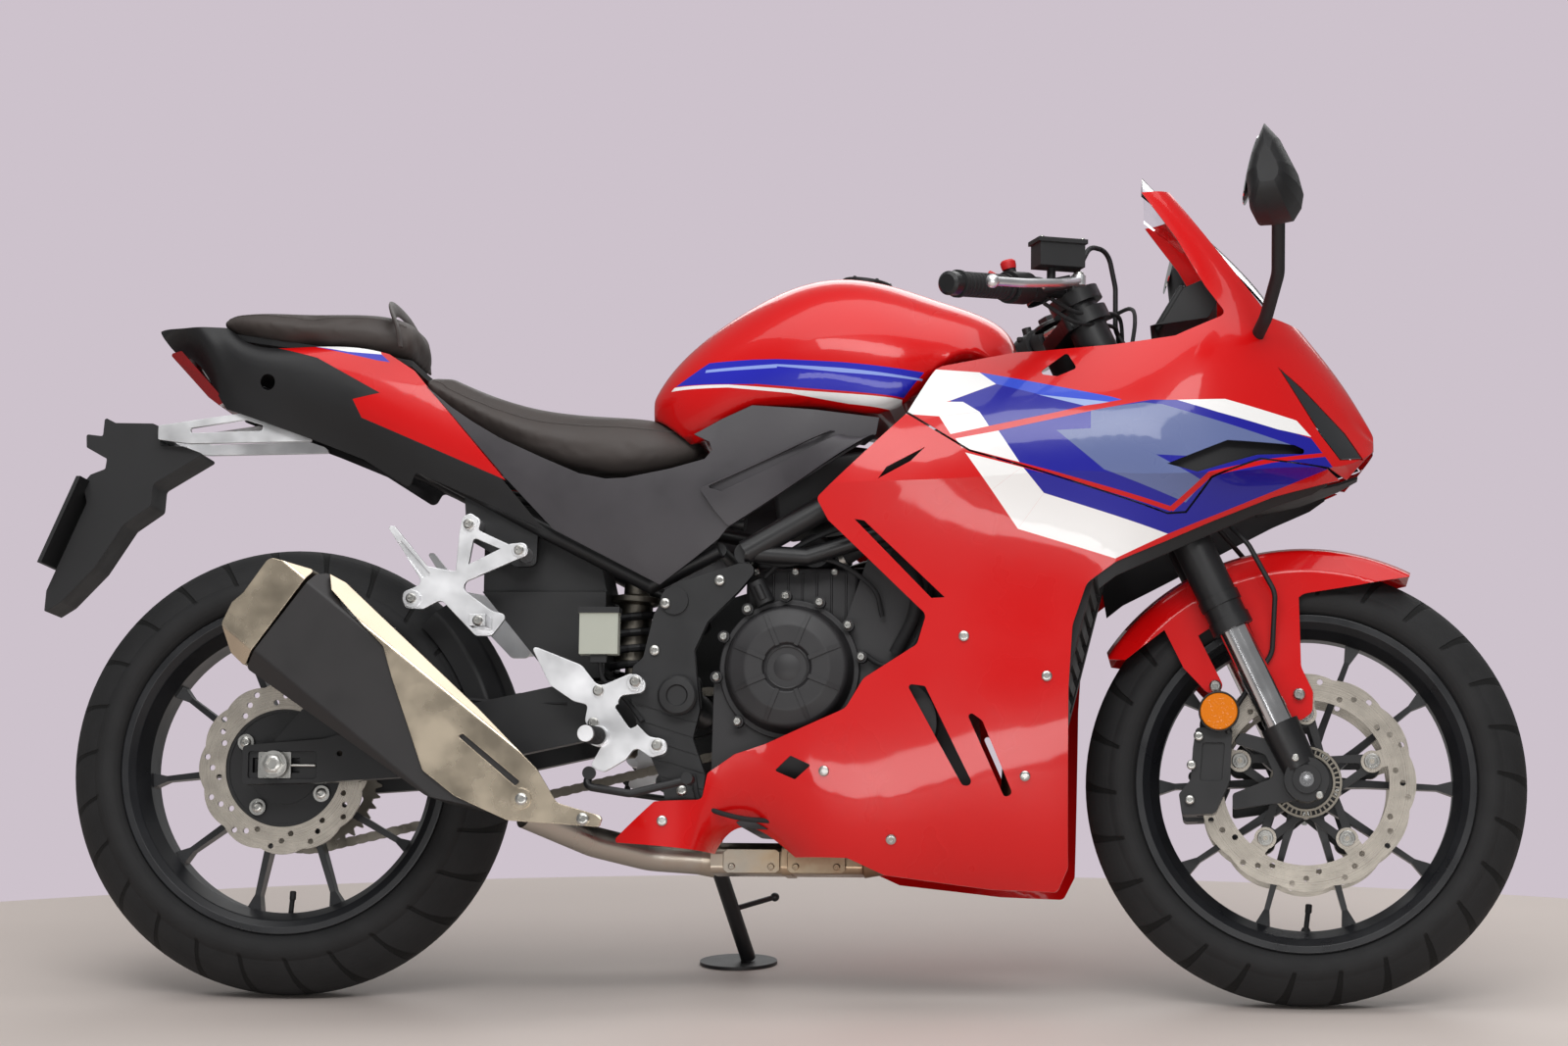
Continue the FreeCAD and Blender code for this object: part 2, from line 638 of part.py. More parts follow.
def engine_covers():
    cover = clutch_cover()
    save("clutch_cover", cover)
    top = clutch_y + gap
    crank = disc(150, 372, -160, -top, 60).cut(disc(clutch_at.x, clutch_at.z, -190, -110, clutch_r + 20.5))
    left = disc(150, 372, top, 150, 74).fuse([disc(150, 372, 148, 158, 60), disc(150, 372, 150, 162, 30)])
    guard = plate([(-112, 470, 12), (-20, 480, 12), (10, 420, 6), (0, 350, 12), (-60, 320, 12), (-100, 340, 12)],
                  top, 133)
    save("engine_covers", Part.makeCompound([largest(crank), one(left), guard]))


def radiator():
    """A finned core between two side tanks."""
    core = box(2, 28, -128, 128, 12, 250)
    for i in range(9):
        z = 26 + 25 * i
        core = core.cut(box(22, 30, -124, 124, z, z + 12))
    tank_l = box(0, 30, 126, 150, 0, 262)
    body = core.fuse([tank_l, mirror(tank_l), box(0, 30, -128, 128, 0, 14), box(0, 30, -128, 128, 248, 262)])
    body = one(body)
    body.rotate(V(0, 0, 0), V(0, 1, 0), 14)
    body.translate(V(347, 0, 404))
    save("radiator", body)


def swingarm():
    ax, az = rear_axle.x, rear_axle.z
    profile = [(-118, 440, 8), (-300, 428, 40), (-560, 372, 60), (-640, 350, 30), (ax - 46, az + 27, 6),
               (ax - 46, az - 27, 6), (-640, 290, 30), (-500, 300, 60), (-260, 352, 40), (-140, 376, 10),
               (-114, 392, 8)]
    arm = plate(profile, arm_in, arm_out)
    slot = plate([(ax - 33, az - 10.3), (ax + 33, az - 10.3), (ax + 33, az + 10.3), (ax - 33, az + 10.3)],
                 arm_in - 1, arm_out + 1)
    hollow = plate([(ax - 38, az - 19, 4), (ax + 58, az - 19, 4), (ax + 58, az + 19, 4), (ax - 38, az + 19, 4)],
                   arm_out - 6, arm_out + 1)
    arm = arm.cut(slot.fuse(hollow)).cut(disc(bobbin_x, bobbin_z, arm_in - 1, arm_out + 1, bobbin_r))
    cross = box(-320, -215, -arm_in - 0.5, arm_in + 0.5, 368, 418)
    tube = rod(V(pivot_x, -133, pivot_z), V(pivot_x, 133, pivot_z), 22)
    body = arm.fuse([mirror(arm), cross, tube])
    bore = rod(V(pivot_x, -140, pivot_z), V(pivot_x, 140, pivot_z), pivot_r + hub_clear)
    save("swingarm", one(body.cut(bore)))
    face = arm_out - 6
    axle = rod(rear_axle - V(0, face + 12, 0), rear_axle + V(0, face + 12, 0), axle_r)
    block = plate([(ax - 24, az - 18, 2), (ax + 22, az - 18, 2), (ax + 22, az + 18, 2), (ax - 24, az + 18, 2)],
                  face + gap, face + 5)
    adjuster = rod(V(ax + 21.5, face + 2.6, az), V(ax + 56, face + 2.6, az), 2.2)
    block = block.fuse(adjuster).cut(disc(ax, az, face - 10, face + 20, axle_r + hub_clear))
    save("axle_blocks", pair(one(block)))
    nut = disc(ax, az, face + 5 + gap, face + 16, 15)
    save("rear_axle", one(axle.fuse([nut, mirror(nut)])))


def chain():
    """The chain's whole loop, with plates that wave once for each link and a web behind the teeth.

    The wheel turns while the loop stays, so the teeth run in a channel between its plates.
    """
    big = pitch / math.sin(math.pi / rear_teeth) / 2
    small = pitch / math.sin(math.pi / front_teeth) / 2
    back = V(rear_axle.x, 0, rear_axle.z)
    line = front_gear - back
    tilt = math.degrees(math.atan2(line.x, line.z))
    lift = math.degrees(math.acos((big - small) / line.Length))
    start = chain_y - chain_w / 2

    def path(extra):
        """Points of the loop, one to each half link, at a distance from the pitch line."""
        up, down = tilt - lift, tilt + lift
        points = []
        turns = 2 * round((360 - 2 * lift) / 360 * 2 * math.pi * big / pitch)
        for i in range(turns + 1):
            points.append((back, big, down + (360 - 2 * lift) * i / turns))
        runs = 2 * round(math.sqrt(line.Length ** 2 - (big - small) ** 2) / pitch)
        top_a, top_b = polar(back, big, up), polar(front_gear, small, up)
        low_a, low_b = polar(front_gear, small, down), polar(back, big, down)
        out = [polar(at, r + extra[i % 2], a) for i, (at, r, a) in enumerate(points)]
        off = polar(V(0, 0, 0), 1, up)
        for i in range(1, runs):
            out.append(top_a + (top_b - top_a) * (i / runs) + off * extra[(i + 1) % 2])
        wraps = 2 * round(2 * lift / 360 * 2 * math.pi * small / pitch)
        for i in range(wraps + 1):
            out.append(polar(front_gear, small + extra[i % 2], up + 2 * lift * i / wraps))
        off = polar(V(0, 0, 0), 1, down)
        for i in range(1, runs):
            out.append(low_a + (low_b - low_a) * (i / runs) + off * extra[(i + 1) % 2])
        return plate([(p.x, p.z) for p in out], start, start + chain_w)

    web = path((tooth_h + 0.8, tooth_h + 0.8))
    channel = web.common(box(-2000, 2000, chain_y - tooth_t / 2 - gap, chain_y + tooth_t / 2 + gap, -500, 1500))
    save("drive_chain", one(path((7.4, 6)).cut([path((-6.4, -4.8)), channel])))
    gear = sprocket(front_gear, front_teeth, chain_y - tooth_t / 2, chain_y + tooth_t / 2)
    save("front_sprocket", gear.cut(disc(front_gear.x, front_gear.z, start - 5, start + 20, 11)))


# exhaust

can_way = V(0.783, 0, -0.622)
can_up = V(0.622, 0, 0.783)
can_at = V(-690, 0, 500)


def can_section(grow):
    """The silencer's eight-sided section, drawn far past both ends along its own axis."""
    lo, hi = silencer_out - grow, silencer_in + grow
    d0, d1 = -74 - grow, 104 + grow
    cut = 30
    points = [(lo + cut, d0, 8), (hi - cut, d0, 8), (hi, d0 + cut, 8), (hi, d1 - cut, 8), (hi - cut, d1, 8),
              (lo + cut, d1, 8), (lo, d1 - cut, 8), (lo, d0 + cut, 8)]
    base = can_at - can_way * 150
    wire = rounded(points, lambda y, d: base + can_up * d + V(0, y, 0))
    return upright(Part.Face(wire).extrude(can_way * 800))


def silencer():
    wide_in, wide_out = silencer_in + 20, silencer_out - 20
    lo, hi = min(wide_in, wide_out), max(wide_in, wide_out)
    can = can_section(0).common(plate([
        (-627, 562), (-612, 566, 6), (-585, 514, 20), (-532, 468, 20), (-480, 424, 20), (-420, 360, 20), (-352, 296, 20),
        (-300, 250), (-330, 234), (-465, 262, 30), (-722, 436, 6)], lo, hi))
    cap = can_section(2).common(plate([
        (-628 - gap, 568, 4), (-688, 584, 12), (-722, 536, 14), (-738, 522, 8), (-751, 494, 10), (-742, 456, 8),
        (-722.6 - gap, 438, 4)], lo, hi))
    cap = cap.cut(plate([(-780, 548), (-733, 522), (-720, 470), (-790, 480)], -236, -176))
    shield = can_section(5).common(plate([
        (-608, 563), (-587, 552, 8), (-529, 499, 20), (-398, 380, 30), (-315, 298, 20), (-288, 254, 12),
        (-226, 236, 6), (-230, 222, 4), (-354, 230, 30), (-426, 262, 20), (-470, 296, 10), (-516, 423, 10),
        (-528, 463, 8), (-554, 489, 8), (-602, 540)], lo, hi))
    shield = shield.cut(can_section(gap)).cut(box(-800, -100, silencer_out + 40, 0, 100, 700))
    shield = shield.cut(plate([(-424, 343, 2), (-416, 345, 2), (-338, 282, 2), (-344, 276, 2)], -290, -240))
    shield = shield.fuse(ring(-336, 259, silencer_out - 8, silencer_out - gap, 14, 6))
    save("silencer", largest(can))
    save("silencer_cap", largest(cap))
    save("silencer_shield", largest(shield))
    return can.fuse(shield)


def exhaust():
    can = silencer()
    runs = []
    for y in (-45, 45):
        runs.append(bent([V(240, y, 532), V(296, y, 492), V(314, y, 400), V(306, y * 0.9, 270),
                          V(246, y * 0.8, 200), V(120, y * 0.5 - 20, 192)], 60, 17))
    chamber = slab([(-78, 176, 10), (-70, 172, 4), (10, 172, 10), (18, 180, 8), (18, 206, 12), (-4, 215, 8),
                    (-56, 215, 8), (-78, 206, 12)], -104, 104)
    ends = cone(V(104, -30, 193), V(134, -30, 193), 24, 19).fuse(cone(V(-104, -38, 192), V(-124, -44, 193), 24, 21.5))
    chamber = chamber.fuse(ends)
    band = slab([(-80, 170, 12), (20, 170, 12), (20, 217, 12), (-80, 217, 12)], -6, 6)
    chamber = one(chamber.fuse(band))
    link = bent([V(-110, -40, 192), V(-190, -66, 196), V(-262, -110, 212), V(-345, -176, 246)], 90, 21)
    save("exhaust_pipes", Part.makeCompound([largest(runs[0].cut(chamber)), largest(runs[1].cut(chamber)),
                                             largest(link.cut(chamber).cut(can))]))
    save("collector", chamber)


# bodywork

stations = [
    (-240, [(95, 190), (136, 225), (158, 300), (164, 420), (160, 560), (175, 690), (168, 790),
            (150, 850), (110, 900), (80, 930), (0, 940)]),
    (-100, [(105, 185), (150, 225), (168, 300), (174, 420), (178, 560), (192, 690), (182, 790),
            (160, 850), (120, 900), (80, 930), (0, 940)]),
    (50, [(110, 165), (150, 212), (174, 300), (184, 420), (194, 560), (206, 690), (194, 790),
          (168, 850), (120, 900), (90, 930), (0, 945)]),
    (200, [(108, 148), (148, 198), (176, 300), (188, 420), (196, 565), (215, 695), (205, 765),
           (168, 852), (124, 905), (96, 960), (0, 980)]),
    (300, [(100, 145), (142, 196), (174, 300), (188, 420), (192, 570), (219, 700), (212, 775),
           (170, 872), (128, 922), (104, 1010), (0, 1040)]),
    (400, [(95, 150), (130, 200), (160, 300), (178, 420), (186, 578), (222, 705), (213, 790),
           (170, 882), (134, 930), (118, 1070), (0, 1110)]),
    (480, [(90, 240), (112, 300), (130, 380), (150, 480), (176, 602), (218, 702), (206, 805),
           (166, 890), (136, 938), (122, 1108), (0, 1152)]),
    (540, [(80, 300), (96, 380), (112, 460), (130, 540), (160, 630), (208, 704), (194, 806),
           (160, 905), (134, 952), (115, 1056), (0, 1094)]),
    (600, [(70, 380), (82, 440), (94, 510), (108, 580), (138, 656), (190, 708), (178, 800),
           (150, 900), (126, 950), (98, 1005), (0, 1038)]),
    (660, [(56, 440), (66, 500), (76, 550), (88, 610), (112, 672), (162, 717), (152, 778),
           (128, 866), (104, 915), (76, 952), (0, 975)]),
    (720, [(40, 520), (48, 560), (56, 600), (64, 640), (82, 690), (122, 724), (116, 758),
           (96, 815), (76, 858), (50, 890), (0, 906)]),
    (770, [(20, 600), (26, 630), (32, 655), (38, 680), (48, 712), (74, 737), (70, 752),
           (58, 775), (44, 803), (28, 826), (0, 838)]),
    (800, [(4, 690), (6, 705), (8, 720), (10, 735), (12, 752), (18, 762), (17, 768),
           (13, 774), (9, 779), (6, 782), (0, 784)]),
]

rear_stations = [
    (-910, [(34, 896), (44, 906), (48, 916), (44, 928), (20, 936)]),
    (-800, [(60, 815), (72, 850), (80, 880), (78, 915), (60, 934)]),
    (-700, [(72, 770), (86, 810), (98, 850), (96, 885), (78, 905)]),
    (-600, [(84, 735), (98, 775), (110, 810), (108, 860), (92, 900)]),
    (-500, [(98, 680), (110, 720), (120, 760), (118, 820), (106, 868)]),
    (-400, [(104, 624), (116, 670), (128, 710), (128, 770), (114, 830)]),
    (-300, [(114, 556), (126, 620), (136, 670), (138, 720), (128, 790)]),
    (-200, [(122, 536), (132, 590), (142, 640), (146, 700), (134, 770)]),
    (-100, [(128, 552), (138, 610), (148, 660), (150, 720), (140, 790)]),
    (0, [(146, 610), (152, 660), (156, 700), (156, 750), (148, 815)]),
    (150, [(148, 700), (154, 735), (156, 758), (156, 785), (150, 822)]),
]


def inset(points, t):
    """The (y, z) outline moved inward by t, square to its own line."""
    out = []
    last = len(points) - 1
    for i, (y, z) in enumerate(points):
        a = points[max(i - 1, 0)]
        b = points[min(i + 1, last)]
        dy, dz = b[0] - a[0], b[1] - a[1]
        n = math.hypot(dy, dz)
        ny, nz = -dz / n, dy / n
        if y == 0:
            ny, nz = 0.0, -1.0
        out.append((max(y + ny * t, 0.0), z + nz * t))
    return out


def soft_line(points):
    curve = Part.BSplineCurve()
    curve.interpolate(points)
    return curve.toShape()


def skin(table, sign, creases, grow=0.0, deep=panel_t):
    """One side's outer skin, lofted through the stations, grown outward and deep mm thick.

    Each section is a run of smooth curves that meet at the creases.
    """
    wires = []
    for x, points in table:
        out = inset(points, -grow) if grow else points
        ins = inset(out, deep)
        stops = [0] + creases + [len(points) - 1]
        edges = []
        for a, b in zip(stops, stops[1:]):
            edges.append(soft_line([V(x, sign * y, z) for y, z in out[a:b + 1]]))
        edges.append(Part.makeLine(V(x, sign * out[-1][0], out[-1][1]), V(x, sign * ins[-1][0], ins[-1][1])))
        for a, b in reversed(list(zip(stops, stops[1:]))):
            edges.append(soft_line([V(x, sign * y, z) for y, z in reversed(ins[a:b + 1])]))
        edges.append(Part.makeLine(V(x, sign * ins[0][0], ins[0][1]), V(x, sign * out[0][0], out[0][1])))
        wires.append(Part.Wire(edges))
    return upright(Part.makeLoft(wires, True, False))


def side_cut(points, sign):
    lo, hi = (0.5, 400) if sign > 0 else (-400, -0.5)
    return plate(points, lo, hi)


side_outline = [
    (168, 788), (255, 733), (400, 689), (520, 652), (545, 655), (580, 700), (645, 728), (735, 724),
    (752, 714), (714, 701), (662, 684), (583, 649, 30), (518, 618, 30), (451, 588, 30), (412, 559, 20),
    (393, 502, 40), (388, 418, 60), (386, 180, 10), (371, 148, 8), (283, 151), (139, 168), (90, 190),
    (-88, 196), (-229, 208, 4), (-168, 262, 6), (-106, 266, 8), (-99, 302, 10), (-63, 328, 12), (-20, 342, 20),
    (89, 389, 20), (113, 429, 20), (185, 475, 12), (197, 515, 10), (64, 642, 8), (48, 672, 8)]

vents = [
    [(100, 643), (113, 641), (222, 538), (204, 537)],
    [(171, 422, 4), (196, 419, 4), (262, 285, 6), (246, 287, 6)],
    [(249, 390, 4), (273, 373, 8), (314, 275, 6), (302, 272, 4)],
    [(132, 697), (143, 713), (195, 740), (176, 721)],
    [(-8, 306, 2), (14, 326, 2), (42, 313, 2), (20, 294, 2)],
]

upper_outline = [
    (170, 790.5), (256, 735.5), (400, 691.5), (519, 654.5), (543.5, 657.5), (578, 702), (644, 730.3),
    (736, 726.3), (762, 716), (801, 762), (820, 800), (700, 960), (620, 1060),
    (520, 1112), (483, 1106), (530, 1043, 20), (570, 974, 20), (599, 934, 8), (530, 899), (445, 886),
    (345, 877), (316, 876), (214, 858), (204, 852)]

duct = [(520, 716), (600, 752, 6), (690, 752, 8), (716, 742, 4), (640, 734, 6), (560, 706, 4)]
scoop = [(345, 842, 4), (384, 874, 4), (398, 850, 4), (372, 838, 4)]


def fairing_skin(sign):
    return skin(stations, sign, [5])


def side_cowls():
    for sign, name in ((-1, "right"), (1, "left")):
        body = fairing_skin(sign).common(side_cut(side_outline, sign))
        for outline in vents:
            body = body.cut(side_cut(outline, sign))
        if sign > 0:
            body = body.cut(box(-260, -24, 0, 400, 100, 332))
        save("side_cowl_" + name, largest(body))


def lamp_room(less):
    """The opening of one headlamp in the nose, seen from the side, smaller by a margin."""
    return plate([(668 + 2 * less, 862 - 2 * less), (700, 836 - less), (760 - less, 778),
                  (785 - 2 * less, 744 + less), (752, 738 + less), (726 + less, 770)], 50 + less, 150)


def upper_cowl():
    halves = []
    for sign in (-1, 1):
        body = fairing_skin(sign).common(side_cut(upper_outline, sign))
        body = body.cut([side_cut(duct, sign), side_cut(scoop, sign)])
        halves.append(body)
    body = halves[0].fuse(halves[1])
    glass = plate([(470, 1200), (480, 1090), (640, 940), (720, 925), (720, 1200)], -92, 92)
    save("upper_cowl", body.cut(glass).cut(pair(lamp_room(0))))


def headlamps():
    save("headlamps", pair(fairing_skin(1).common(lamp_room(1.6))))


def windscreen():
    wires = []
    for x, half, edge, mid in ((482, 88, 1112, 1150), (540, 84, 1064, 1092), (600, 72, 1013, 1036),
                               (650, 58, 962, 980)):
        t = V(0, 0, 4.5)
        left, crest, right = V(x, -half, edge), V(x, 0, mid), V(x, half, edge)
        wires.append(Part.Wire([
            Part.Arc(left, crest, right).toShape(), Part.makeLine(right, right - t),
            Part.Arc(right - t, crest - t, left - t).toShape(), Part.makeLine(left - t, left)]))
    save("windscreen", Part.makeLoft(wires, True, False))


def tapered(rows, thick):
    """A floor of even thickness through rows of place, half width and height of its upper face."""
    wires = []
    for x, half, z in rows:
        ends = [V(x, -half, z), V(x, half, z), V(x, half, z - thick), V(x, -half, z - thick)]
        wires.append(Part.makePolygon(ends + [ends[0]]))
    return upright(Part.makeLoft(wires, True, True))


def nose_panels():
    """The black parts that show round the nose: lower bands, duct pockets, chin and dashboard."""
    parts = []
    band = [(735, 735), (662, 712), (583, 688), (518, 662), (451, 625), (420, 600), (428, 552),
            (451, 570, 20), (518, 602, 20), (583, 634, 20), (662, 672, 20), (714, 692), (735, 706)]
    pocket = [(506, 716), (596, 766), (700, 766), (734, 742), (640, 720), (560, 694)]
    for sign in (-1, 1):
        parts.append(largest(skin(stations, sign, [5], -panel_t - 0.7).common(side_cut(band, sign))))
        deep = skin(stations, sign, [5], -panel_t - 13).common(side_cut(pocket, sign))
        parts.append(largest(deep))
    parts.append(tapered(((640, 92, 690), (700, 66, 700), (752, 34, 716), (778, 14, 728)), 4))
    dash = plate([(494, 929), (512, 935, 6), (540, 982, 8), (574, 997, 6), (586, 961, 6), (574, 940, 6)],
                 -74, 74)
    face = plate([(470, 938), (512, 946), (538, 996), (470, 996)], -60, 60)
    parts.append(dash.cut(face))
    return parts


def inner_panels():
    """Black mouldings on the frame: round the nose, the battery box and the rear hugger."""
    battery = plate([(-430, 640, 6), (-375, 668), (-268, 610), (-256, 560, 8), (-256, 440, 8), (-330, 440, 8),
                     (-430, 560, 10)], -74, 74)
    battery = battery.cut(disc(rear_axle.x, rear_axle.z, -90, 90, rear_tyre_r + 10))
    battery = battery.cut(both(box(-430, -250, 62, 80, 560, 640)))
    crown = rear_tyre_r + 14
    profile = [(-74, crown - 52), (-76, crown - 24, 8), (-52, crown - 2, 16), (0, crown + 6, 60), (52, crown - 2, 16),
               (76, crown - 24, 8), (74, crown - 52), (71, crown - 52), (73, crown - 24, 7), (50, crown - 5, 15),
               (0, crown + 3, 60), (-50, crown - 5, 15), (-73, crown - 24, 7), (-71, crown - 52)]
    wire = rounded(profile, lambda y, r: V(rear_axle.x, y, rear_axle.z + r))
    face = Part.Face(wire)
    face.rotate(rear_axle, V(0, 1, 0), 44)
    hugger = face.revolve(rear_axle, V(0, 1, 0), 34)
    hugger = hugger.cut(battery)
    save("inner_panels", Part.makeCompound(nose_panels() + [largest(battery), largest(hugger)]))


tank_rows = (
    # x, half width and height of the lower edge, of the shoulder, and the height of the ridge
    (-196, 52, 800, 46, 832, 838), (-175, 74, 775, 70, 850, 876), (-130, 100, 766, 96, 880, 920),
    (-60, 128, 800, 118, 915, 968), (0, 142, 810, 132, 935, 996), (68, 150, 806, 138, 945, 1007),
    (130, 152, 800, 138, 935, 998), (200, 140, 846, 130, 905, 976), (262, 118, 872, 108, 900, 953),
    (306, 96, 884, 88, 892, 908))


def tank():
    wires = []
    for x, low_half, low_z, mid_half, mid_z, top_z in tank_rows:
        rise = (top_z - mid_z) * 0.72
        over = soft_line([V(x, low_half, low_z + 12), V(x, mid_half, mid_z), V(x, mid_half * 0.62, mid_z + rise),
                          V(x, 0, top_z), V(x, -mid_half * 0.62, mid_z + rise), V(x, -mid_half, mid_z),
                          V(x, -low_half, low_z + 12)])
        under = [V(x, -low_half, low_z + 12), V(x, -low_half * 0.9, low_z), V(x, low_half * 0.9, low_z),
                 V(x, low_half, low_z + 12)]
        wires.append(Part.Wire([over] + [Part.makeLine(a, b) for a, b in zip(under, under[1:])]))
    body = upright(Part.makeLoft(wires, True, False)).cut(seat_loft(rider_rows, 0.6))
    cap = rod(V(92, 0, 1000), V(100, 0, 1011), 36)
    save("fuel_tank", largest(body.fuse(cap)))


def seat_loft(rows, grow=0.0):
    wires = []
    for x, half, low, edge, top in rows:
        h = half + grow
        over = soft_line([V(x, -h * 0.8, low - grow), V(x, -h, edge), V(x, -h * 0.7, top - 6 + grow), V(x, 0, top + grow),
                          V(x, h * 0.7, top - 6 + grow), V(x, h, edge), V(x, h * 0.8, low - grow)])
        wires.append(Part.Wire([over, Part.makeLine(V(x, h * 0.8, low - grow), V(x, -h * 0.8, low - grow))]))
    return upright(Part.makeLoft(wires, True, False))


rider_rows = ((-520, 92, 850, 862, 880), (-440, 104, 796, 814, 842), (-340, 116, 745, 774, 812),
              (-230, 114, 722, 767, 803), (-160, 96, 734, 764, 797), (-128, 74, 748, 768, 790))
deck_rows = ((-905, 14, 935), (-820, 48, 934), (-740, 64, 919.5), (-640, 78, 903), (-560, 86, 889), (-534, 88, 883.5))
pillion_rows = ((-820, 60, 934.7, 944, 955), (-740, 92, 920.2, 940, 960), (-640, 100, 903.7, 930, 956),
                (-560, 94, 889.7, 922, 948), (-534, 84, 884.2, 912, 936))


def seats():
    save("rider_seat", seat_loft(rider_rows))
    save("pillion_seat", seat_loft(pillion_rows))


tail_dark = [(-908, 936), (-801, 936), (-785, 921, 6), (-668, 887), (-574, 834), (-613, 826), (-600, 800),
             (-397, 711), (-338, 641), (-352, 647, 10), (-522, 724, 6), (-532, 702, 8), (-601, 745, 20),
             (-669, 772, 20), (-813, 824, 10), (-892, 912)]
tail_red = [(-776, 926), (-578, 900), (-527, 866), (-391, 708), (-397, 711), (-600, 800), (-613, 826), (-574, 834),
            (-668, 887), (-785, 921)]
cover_edge = [(-512, 846), (-472, 791, 20), (-287, 707, 30), (-222, 709, 10), (-109, 734, 6), (-100, 757, 6),
              (-128, 769, 6), (-48, 811, 14), (132, 790, 6), (137, 776, 4), (127, 767), (-80, 639, 10),
              (-92, 624, 6), (-174, 561, 10), (-322, 639)]
cover_duct = [(-118, 692, 4), (64, 772, 6), (126, 767, 2), (-78, 640, 6), (-97, 662, 4)]
duct_slot = [(-108, 694, 2), (62, 770, 2), (88, 771, 2), (-88, 688, 2)]
cover_slit = [(-235, 653), (-224, 651), (-176, 590), (-192, 594)]


def tail():
    dark, red = [], []
    for sign in (-1, 1):
        body = skin(rear_stations, sign, []).cut(seat_loft(pillion_rows, 0.6))
        side = largest(body.common(side_cut(tail_dark, sign)))
        y0, y1 = sorted((sign * 60, sign * 120))
        side = side.cut(disc(-739, 854, y0, y1, 11))
        dark.append(side.fuse(disc(-739, 854, *sorted((sign * 84, sign * 91)), 10.9)))
        red.append(largest(body.common(side_cut(tail_red, sign))))
    save("tail_panels", Part.makeCompound(red))
    save("tail_covers", Part.makeCompound([largest(s) for s in dark]))
    save("tail_deck", tapered(deck_rows, 9))
    lens = plate([(-893, 903, 3), (-822, 827, 3), (-806, 832, 3), (-874, 906, 3)], -75, 75)
    lens = lens_between_covers(lens).cut(pair(skin(rear_stations, 1, [], 0.6, panel_t + 1.2)))
    save("tail_lamp", largest(lens))


def lens_between_covers(lens):
    """The tail lamp fills the space between the two covers, tapered as they are."""
    wires = []
    for x, points in rear_stations[:3]:
        corners = [V(x, y - panel_t - 4, z) for y, z in points]
        corners += [V(x, -y + panel_t + 4, z) for y, z in reversed(points)]
        wires.append(Part.makePolygon(corners + [corners[0]]))
    return largest(lens.common(Part.makeLoft(wires, True, True)))


def side_covers():
    covers = []
    for sign in (-1, 1):
        body = largest(skin(rear_stations, sign, []).common(side_cut(cover_edge, sign)))
        raised = skin(rear_stations, sign, [], 7, 8.5).common(side_cut(cover_duct, sign))
        body = body.fuse(raised)
        body = body.cut([side_cut(duct_slot, sign), side_cut(cover_slit, sign)])
        covers.append(largest(body))
    save("side_covers", Part.makeCompound(covers))


def plate_carrier():
    arm = plate([(-902, 798, 3), (-783, 815, 8), (-687, 784, 4), (-676, 775, 3), (-856, 772, 4), (-902, 778, 3)], 51, 59)
    arm = arm.cut(plate([(-857, 794, 3), (-777, 806, 3), (-751, 798, 3), (-753, 790, 3), (-854, 787, 3)], 45, 80))
    save("plate_arm", both(arm).fuse(box(-902, -888, -51.5, 51.5, 780, 792)))
    blade = plate([(-985, 813, 3), (-969, 805, 3), (-915, 804, 4), (-903.5, 799), (-903.5, 772), (-870, 771), (-840, 760, 3),
                   (-912, 717, 8), (-914, 686, 8), (-953, 659, 12), (-993, 597, 20), (-1039, 549, 8), (-1063, 534, 2),
                   (-1061, 565, 6), (-1007, 691, 10), (-1014, 718, 6), (-1003, 731, 4), (-982, 739, 4),
                   (-980, 754, 4), (-1010, 770, 3), (-1011, 789, 3), (-987, 786, 3)], -40, 40)
    board = plate([(-1004, 722), (-1010, 722), (-1062, 600), (-1056, 600)], -88, 88)
    holder = blade.cut(plate([(-960, 780), (-930, 780), (-935, 720), (-985, 640), (-995, 650), (-975, 730)], -34, 34))
    save("plate_holder", one(holder.fuse(board)))


def mirror_unit(stalk, centre):
    """One mirror: a bent stalk from the cowl and a rounded housing on its top."""
    leaf = [(-9, 66), (9, 46), (30, 4), (36, -19), (33, -38), (22, -56), (-3, -61), (-23, -62), (-30, -48),
            (-34, -10), (-26, 24)]
    wires = []
    side = 1 if centre.y > 0 else -1
    for share, scale in ((-1, 0.5), (-0.86, 0.74), (-0.4, 0.97), (0.1, 1), (0.6, 0.9), (0.9, 0.66), (1, 0.4)):
        y = centre.y + side * share * 78
        points = [V(centre.x + a * scale - share * 10, y, centre.z + b * scale) for a, b in leaf]
        wires.append(Part.makePolygon(points + [points[0]]))
    head = upright(Part.makeLoft(wires, True, False))
    return largest(bent(stalk, 60, 9).fuse(head))


def mirrors():
    right = mirror_unit([V(640, -118, 905), V(652, -150, 925), V(668, -205, 975), V(668, -262, 1045)],
                        V(662, -320, 1083))
    left = mirror_unit([V(640, 118, 905), V(640, 150, 925), V(606, 214, 975), V(556, 268, 1050)],
                       V(547, 326, 1090))
    nose = [fairing_skin(sign) for sign in (-1, 1)]
    save("mirrors", Part.makeCompound([largest(right.cut(nose[0])), largest(left.cut(nose[1]))]))


